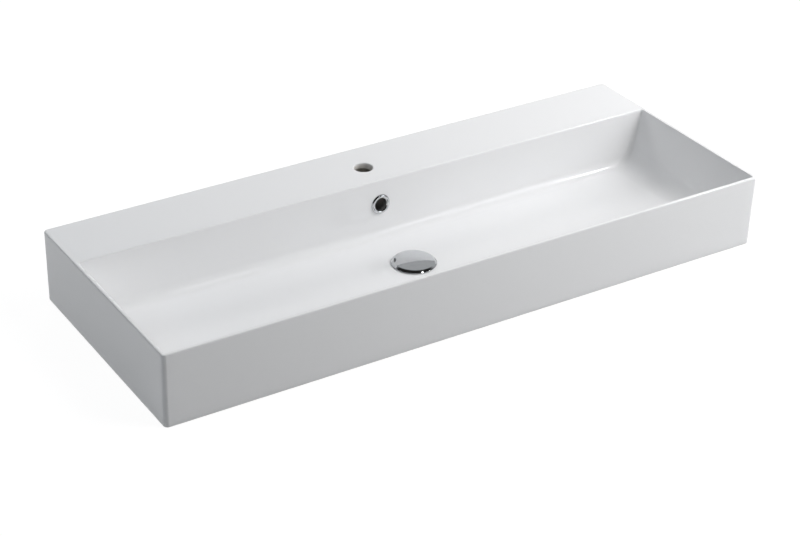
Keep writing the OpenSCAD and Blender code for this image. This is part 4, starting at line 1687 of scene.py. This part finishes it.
def hexagon_rows(flats: float, bore: float, low: float, high: float) -> Array:
    """Outline of a hexagon nut before its flats are cut.

    Both faces are flat out to nearly the flats' radius; cones go on from there to the corners, falling one part
    in two, and the bore has a small chamfer.

    Args:
        flats: width over the flats.
        bore: radius of the bore.
        low: height of the lower face.
        high: height of the upper face.

    Returns:
        Rows of radius, height and slope.
    """
    corner = flats / 2 / math.cos(math.pi / 6)
    chamfer = min(0.5, (high - low) / 8)
    start = flats / 2 - 0.02 * flats
    cone = np.linspace(start, corner + 0.01, 9)
    level = np.full(len(cone), 0.5)
    lower = np.stack([cone, low + (cone - start) / 2, level], axis=1)
    upper = np.stack([cone[::-1], high - (cone[::-1] - start) / 2, -level], axis=1)
    inner = [[bore, high - chamfer, 0], [bore, low + chamfer, 0], [bore + chamfer, low, 0]]
    return np.concatenate([lower, upper, [[bore + chamfer, high, 0]], inner])


@dataclass
class ClickPlug:
    """The plug: a domed chromed cap, its rubber seal and carrier, the threaded stem and its locknut."""

    axis: Point = (0.0, -21.0, 0.0)
    top: float = 32.958
    cap_r: float = 41.0
    ball: float = 255.0
    edge_w: float = 4.4
    low_z: float = 25.958
    shell: float = 1.8
    hub_r: float = 12.0
    shoulder_r: float = 15.0
    seal_z: tuple[float, float] = (21.7, 24.7)
    seal_r: tuple[float, float] = (18.28, 21.28)
    carrier_r: float = 16.0
    carrier_t: float = 2.0
    stem_r: float = 3.0
    stem_z: tuple[float, float] = (4.7, 27.7)
    nut_h: float = 4.0

    def _dome(self, radius: Array, inset: float) -> Array:
        """Rows of the ball's surface at radii from the axis, inset from the outside."""
        ball = self.ball - inset
        return np.stack([radius, self.top - self.ball + np.sqrt(ball**2 - radius**2)], axis=1)

    def _cap(self) -> Patchwork:
        """The cap: the dome, the slope round it with soft edges, the hollow below and the hub.

        Returns:
            The finished patchwork.
        """
        crease = self.cap_r - self.edge_w
        meet, before = self._dome(np.array([crease, crease - 3.0]), 0.0)
        outer = self._dome(np.concatenate([[0], np.linspace(0.6, crease - 3.4, 31)]), 0.0)
        under = self._dome(np.linspace(35.6, self.shoulder_r + 0.8, 9), self.shell)
        foot = self.low_z
        roll = rounded(
            [before, meet, [self.cap_r, foot + 0.5], [self.cap_r, foot], [self.cap_r - 1.7, foot],
             [self.cap_r - 2.1, foot + 0.9], under[0] + [0.5, -0.28]],
            [1, 3.2, 0.4, 0.15, 0.3, 0.4, 1], 7, closed=False,
        )
        low, high = self.seal_z
        hub = rounded(
            [under[-1], [self.shoulder_r, under[-1][1] - 0.2], [self.shoulder_r, high], [self.hub_r, high],
             [self.hub_r, low], [self.stem_r, low], [self.stem_r, self.stem_z[1]], [0.0, self.stem_z[1]]],
            [1, 0.2, 0.5, 0.2, 0.5, 0.4, 0.2, 1], 4, closed=False,
        )
        work = Patchwork()
        work.spin(np.concatenate([outer, roll, under, hub[1:]]), self.axis, count=144)
        return work

    def _stem(self) -> Patchwork:
        """The stem, a rod with a fine thread of one millimetre.

        Returns:
            The finished patchwork.
        """
        low, high = self.stem_z
        z = np.concatenate([[low + 0.4], np.arange(low + 0.6, high - 0.5, 0.125), [high - 0.4]])
        turn = full_turn(40)
        radius = self.stem_r - thread_depth(turn[None], z[:, None], 1.0, 0.5, low + 0.5, high - 0.4)
        end = np.full((1, len(turn)), self.stem_r - 0.5)
        radius = np.concatenate([end, radius, end])
        z = np.concatenate([[low], z, [high]])
        work = Patchwork()
        work.loft(turned(self.axis, radius, turn, z[:, None]))
        return work

    def build(self, shop: Workshop) -> None:
        """Builds the five pieces, which all ride on the plug.

        Args:
            shop: the workshop that dresses the pieces.
        """
        low, high = self.seal_z
        small, large = self.seal_r
        shop.fit(self._cap().make("plug_domed_cap"), Slot.CHROME, PLUG, "plug_cap")
        seal = Patchwork()
        outline = [[self.hub_r, low], [small, low], [large, high], [self.hub_r, high]]
        seal.spin(rounded(outline, [0.2, 0.5, 0.35, 0.2], 4), self.axis)
        shop.fit(seal.make("plug_rubber_seal"), Slot.RUBBER, PLUG, "plug_seal")
        carrier = Patchwork()
        foot = low - self.carrier_t
        outline = [[self.stem_r, foot], [self.carrier_r, foot], [self.carrier_r, low], [self.stem_r, low]]
        carrier.spin(rounded(outline, [0.3, 0.8, 0.3, 0.2], 4), self.axis)
        shop.fit(carrier.make("plug_seal_carrier"), Slot.PLASTIC, PLUG, "seal_carrier")
        shop.fit(self._stem().make("plug_threaded_stem"), Slot.BRASS, PLUG, "plug_stem")
        nut = Patchwork()
        flats = self.stem_r * 3.4
        nut.spin(hexagon_rows(flats, self.stem_r, foot - self.nut_h, foot), self.axis, count=60, flats=flats)
        shop.fit(nut.make("plug_stem_locknut", 20.0), Slot.BRASS, PLUG, "stem_locknut")


@dataclass
class Cartridge:
    """The push-push cartridge: moulded pieces as in the CAD model, and a spring of smooth round wire."""

    axis: Point = (0.0, -21.0, 0.0)
    spring_z: tuple[float, float] = (-36.6, -19.6)
    coil_r: float = 5.25
    wire_r: float = 0.5
    curls: float = 7.0

    def _spring(self) -> Patchwork:
        """The spring.

        Its wire's middle is at coil radius r and angle t, and climbs with a pitch that opens smoothly from
        closed end turns; a ring of the wire lies across that path. The ends are ground flat.

        Returns:
            The finished patchwork.
        """
        low, high = self.spring_z
        share = np.linspace(0, 1, int(self.curls * 40) + 1)
        opening = np.clip(np.minimum(share, 1 - share) / 0.14, 0, 1)
        speed = 0.42 + opening * opening * (3 - 2 * opening)
        climb = np.concatenate([[0], np.cumsum((speed[1:] + speed[:-1]) / 2)])
        z = low + self.wire_r * 0.7 + climb / climb[-1] * (high - low - self.wire_r * 1.4)
        turn = share * self.curls * 2 * np.pi
        path = np.stack([self.coil_r * np.cos(turn), self.coil_r * np.sin(turn), z], axis=1)
        ahead = np.gradient(path, axis=0)
        ahead /= np.linalg.norm(ahead, axis=1, keepdims=True)
        outward = np.stack([np.cos(turn), np.sin(turn), np.zeros_like(turn)], axis=1)
        third = np.cross(ahead, outward)
        angle = full_turn(12)[:, None]
        rings = path[:, None] + self.wire_r * (np.cos(angle) * outward[:, None] + np.sin(angle) * third[:, None])
        rings[..., 2] = np.clip(rings[..., 2], low, high)
        work = Patchwork()
        work.loft(rings + np.asarray(self.axis))
        return work

    def build(self, shop: Workshop) -> None:
        """Builds the spring and dresses the moulded pieces.

        Args:
            shop: the workshop that dresses the pieces.
        """
        low, high = (np.asarray(self.axis) + [0, 0, z] for z in self.spring_z)
        spring = self._spring().make("click_wound_spring", 60.0)
        shop.fit(spring, Slot.SPRING, BASIN, "click_spring", stretch=(PLUG, low, high))
        for node, slot in (
            ("click_housing", Slot.ACETAL), ("housing_locknut", Slot.BRASS), ("click_end_cap", Slot.ACETAL),
            ("click_plunger", Slot.ACETAL), ("click_rotor", Slot.BRASS),
        ):
            shop.dress(node, slot)


@dataclass
class Studio:
    """White sweep, soft lamps and the camera at the photograph's angle."""

    place: Point = (-1.67521, -2.52669, 1.77438)
    right: Point = (0.864116, -0.503271, 0.0048)
    down: Point = (-0.266633, -0.465856, -0.843733)
    ahead: Point = (0.426862, 0.727803, -0.536741)
    focal_px: float = 1948.99
    axis_px: tuple[float, float] = (314.21, 339.94)
    image_px: tuple[float, float] = (800.0, 536.0)
    sensor_mm: float = 36.0
    floor_half: float = 6.0
    floor_z: float = -0.0005
    covered: tuple[float, float] = (0.5945, 0.2245)
    beyond: Point = (0.5, 0.866, 0.0)

    def camera(self) -> None:
        """Makes the camera from the fitted place and axes.

        Its lens is focal_px over the image's width. The photograph is cropped off its optical axis, so the lens
        is shifted by the axis' distance from the middle of the image.
        """
        data = bpy.data.cameras.new("view")
        data.sensor_width = self.sensor_mm
        wide, high = self.image_px
        data.lens = self.focal_px * self.sensor_mm / wide
        data.shift_x = (wide / 2 - self.axis_px[0]) / wide
        data.shift_y = (self.axis_px[1] - high / 2) / wide
        data.clip_end = 60.0
        made = bpy.data.objects.new("view", data)
        rows = [self.right, tuple(-v for v in self.down), tuple(-v for v in self.ahead)]
        turn = Matrix(rows).transposed().to_4x4()
        made.matrix_world = Matrix.Translation(Vector(self.place)) @ turn
        bpy.context.scene.collection.objects.link(made)
        bpy.context.scene.camera = made

    def floor(self) -> None:
        """A pale floor that shows white and keeps a faint shadow of the basin.

        Seen from below it is clear, so that the hollow underside can be looked into. The part that the basin
        covers is matt, and lets the light of the lamp below through to the underside.
        """
        mesh = bpy.data.meshes.new("floor")
        square = [(-1, -1), (1, -1), (1, 1), (-1, 1)]
        outer = [(x * self.floor_half, y * self.floor_half, self.floor_z) for x, y in square]
        inner = [(x * self.covered[0], y * self.covered[1], self.floor_z) for x, y in square]
        sides = [(0, 1, 5, 4), (1, 2, 6, 5), (2, 3, 7, 6), (3, 0, 4, 7), (4, 5, 6, 7)]
        mesh.from_pydata(outer + inner, [], sides)
        made = bpy.data.objects.new("floor", mesh)
        bpy.context.scene.collection.objects.link(made)
        made.data.materials.append(StudioFloor("studio_floor").material())
        made.data.materials.append(StudioCover("studio_cover").material())
        made.data.polygons[-1].material_index = 1

    def world(self) -> None:
        """A soft even sky, white where the camera sees it.

        Shiny surfaces see a room instead: grey beyond the basin, and nearly black on the camera's side.
        """
        world = bpy.data.worlds.new("studio")
        bpy.context.scene.world = world
        world.use_nodes = True
        graph = Graph(world.node_tree)
        heading = graph.node("ShaderNodeTexCoord", output="Generated")
        dot = {"operation": "DOT_PRODUCT"}
        beyond = graph.node("ShaderNodeVectorMath", dot, {0: heading, 1: self.beyond}, "Value")
        room = graph.mix(beyond.ramp(0.15, 0.45), grey(0.02), (0.44, 0.45, 0.46, 1.0))
        sky = graph.shine("ShaderNodeBackground", (0.96, 0.98, 1.0, 1.0), 0.02)
        mirrored = graph.shine("ShaderNodeBackground", room, 1.0)
        white = graph.shine("ShaderNodeBackground", grey(1.0), 1.0)
        unseen = graph.choose(graph.ray("Is Glossy Ray"), sky, mirrored)
        graph.finish(graph.choose(graph.ray("Is Camera Ray"), unseen, white), "ShaderNodeOutputWorld")

    def lamp(
        self,
        name: str,
        place: Sequence[float],
        aim: Sequence[float],
        size: Sequence[float],
        watts: float,
        mirrored: bool = False,
        lights: bool = True,
        tint: Sequence[float] = (1.0, 1.0, 1.0),
    ) -> None:
        """Adds one soft rectangular lamp.

        Args:
            name: the lamp's name.
            place: where it stands.
            aim: the point that it faces.
            size: its width and height.
            watts: its power.
            mirrored: whether shiny surfaces show it.
            lights: whether it also lights matt surfaces; a lamp that only makes a highlight doesn't.
            tint: its colour.
        """
        data = bpy.data.lights.new(name, "AREA")
        data.shape = "RECTANGLE"
        data.size, data.size_y = size
        data.energy = watts
        data.color = tint
        made = bpy.data.objects.new(name, data)
        turn = (Vector(aim) - Vector(place)).to_track_quat("-Z", "Y").to_matrix().to_4x4()
        made.matrix_world = Matrix.Translation(Vector(place)) @ turn
        made.visible_glossy = mirrored
        made.visible_diffuse = lights
        bpy.context.scene.collection.objects.link(made)

    def build(self) -> None:
        """Sets up camera, floor, sky and lamps, and a plain view transform."""
        self.camera()
        self.floor()
        self.world()
        near = (0.2, 0.0, 0.05)
        cool, shade = (0.93, 0.965, 1.0), (0.86, 0.93, 1.0)
        self.lamp("right_front_high", (1.2, -1.4, 2.2), near, (1.2, 1.2), 41.8)
        self.lamp("right_low", (2.4, 0.0, 0.8), (0.4, 0.0, 0.05), (1.0, 1.0), 25.0)
        self.lamp("back", (-0.2, 2.0, 1.4), (0.0, 0.0, 0.05), (2.0, 1.0), 19.5)
        self.lamp("right_front", (1.6, -1.6, 1.0), (0.4, -0.1, 0.05), (1.11, 1.11), 9.4, mirrored=True, tint=cool)
        self.lamp("right_high", (1.8, -0.35, 1.8), near, (1.2, 1.2), 14.0)
        self.lamp("left_high", (-2.0, 0.2, 1.8), (-0.2, 0.0, 0.05), (1.2, 1.2), 10.9, tint=shade)
        self.lamp("left_front", (-1.6, -1.6, 1.4), (-0.2, 0.0, 0.05), (1.2, 1.2), 1.5, tint=shade)
        self.lamp("glint", (1.93, -1.15, 1.79), (0.46, 0.085, 0.034), (0.16, 0.2), 6.0, mirrored=True, lights=False)
        self.lamp("spark", (0.49, -1.08, 1.63), (0.0, -0.06, 0.03), (0.24, 0.24), 0.9, mirrored=True, lights=False)
        self.lamp("below", (0.3, -2.0, -0.75), (0.0, 0.0, 0.014), (1.6, 0.4), 50.0)
        bpy.context.scene.view_settings.view_transform = "Standard"


def main() -> None:
    """Builds every piece, dresses the CAD nodes that stay and sets the studio."""
    logging.basicConfig(level=logging.INFO, format="%(name)s: %(message)s")
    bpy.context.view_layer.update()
    shop = Workshop()
    for assembly in (Casting(), OverflowFitting(), WasteFitting(), ClickPlug(), Cartridge()):
        assembly.build(shop)
    Studio().build()


if __name__ == "__main__":
    main()
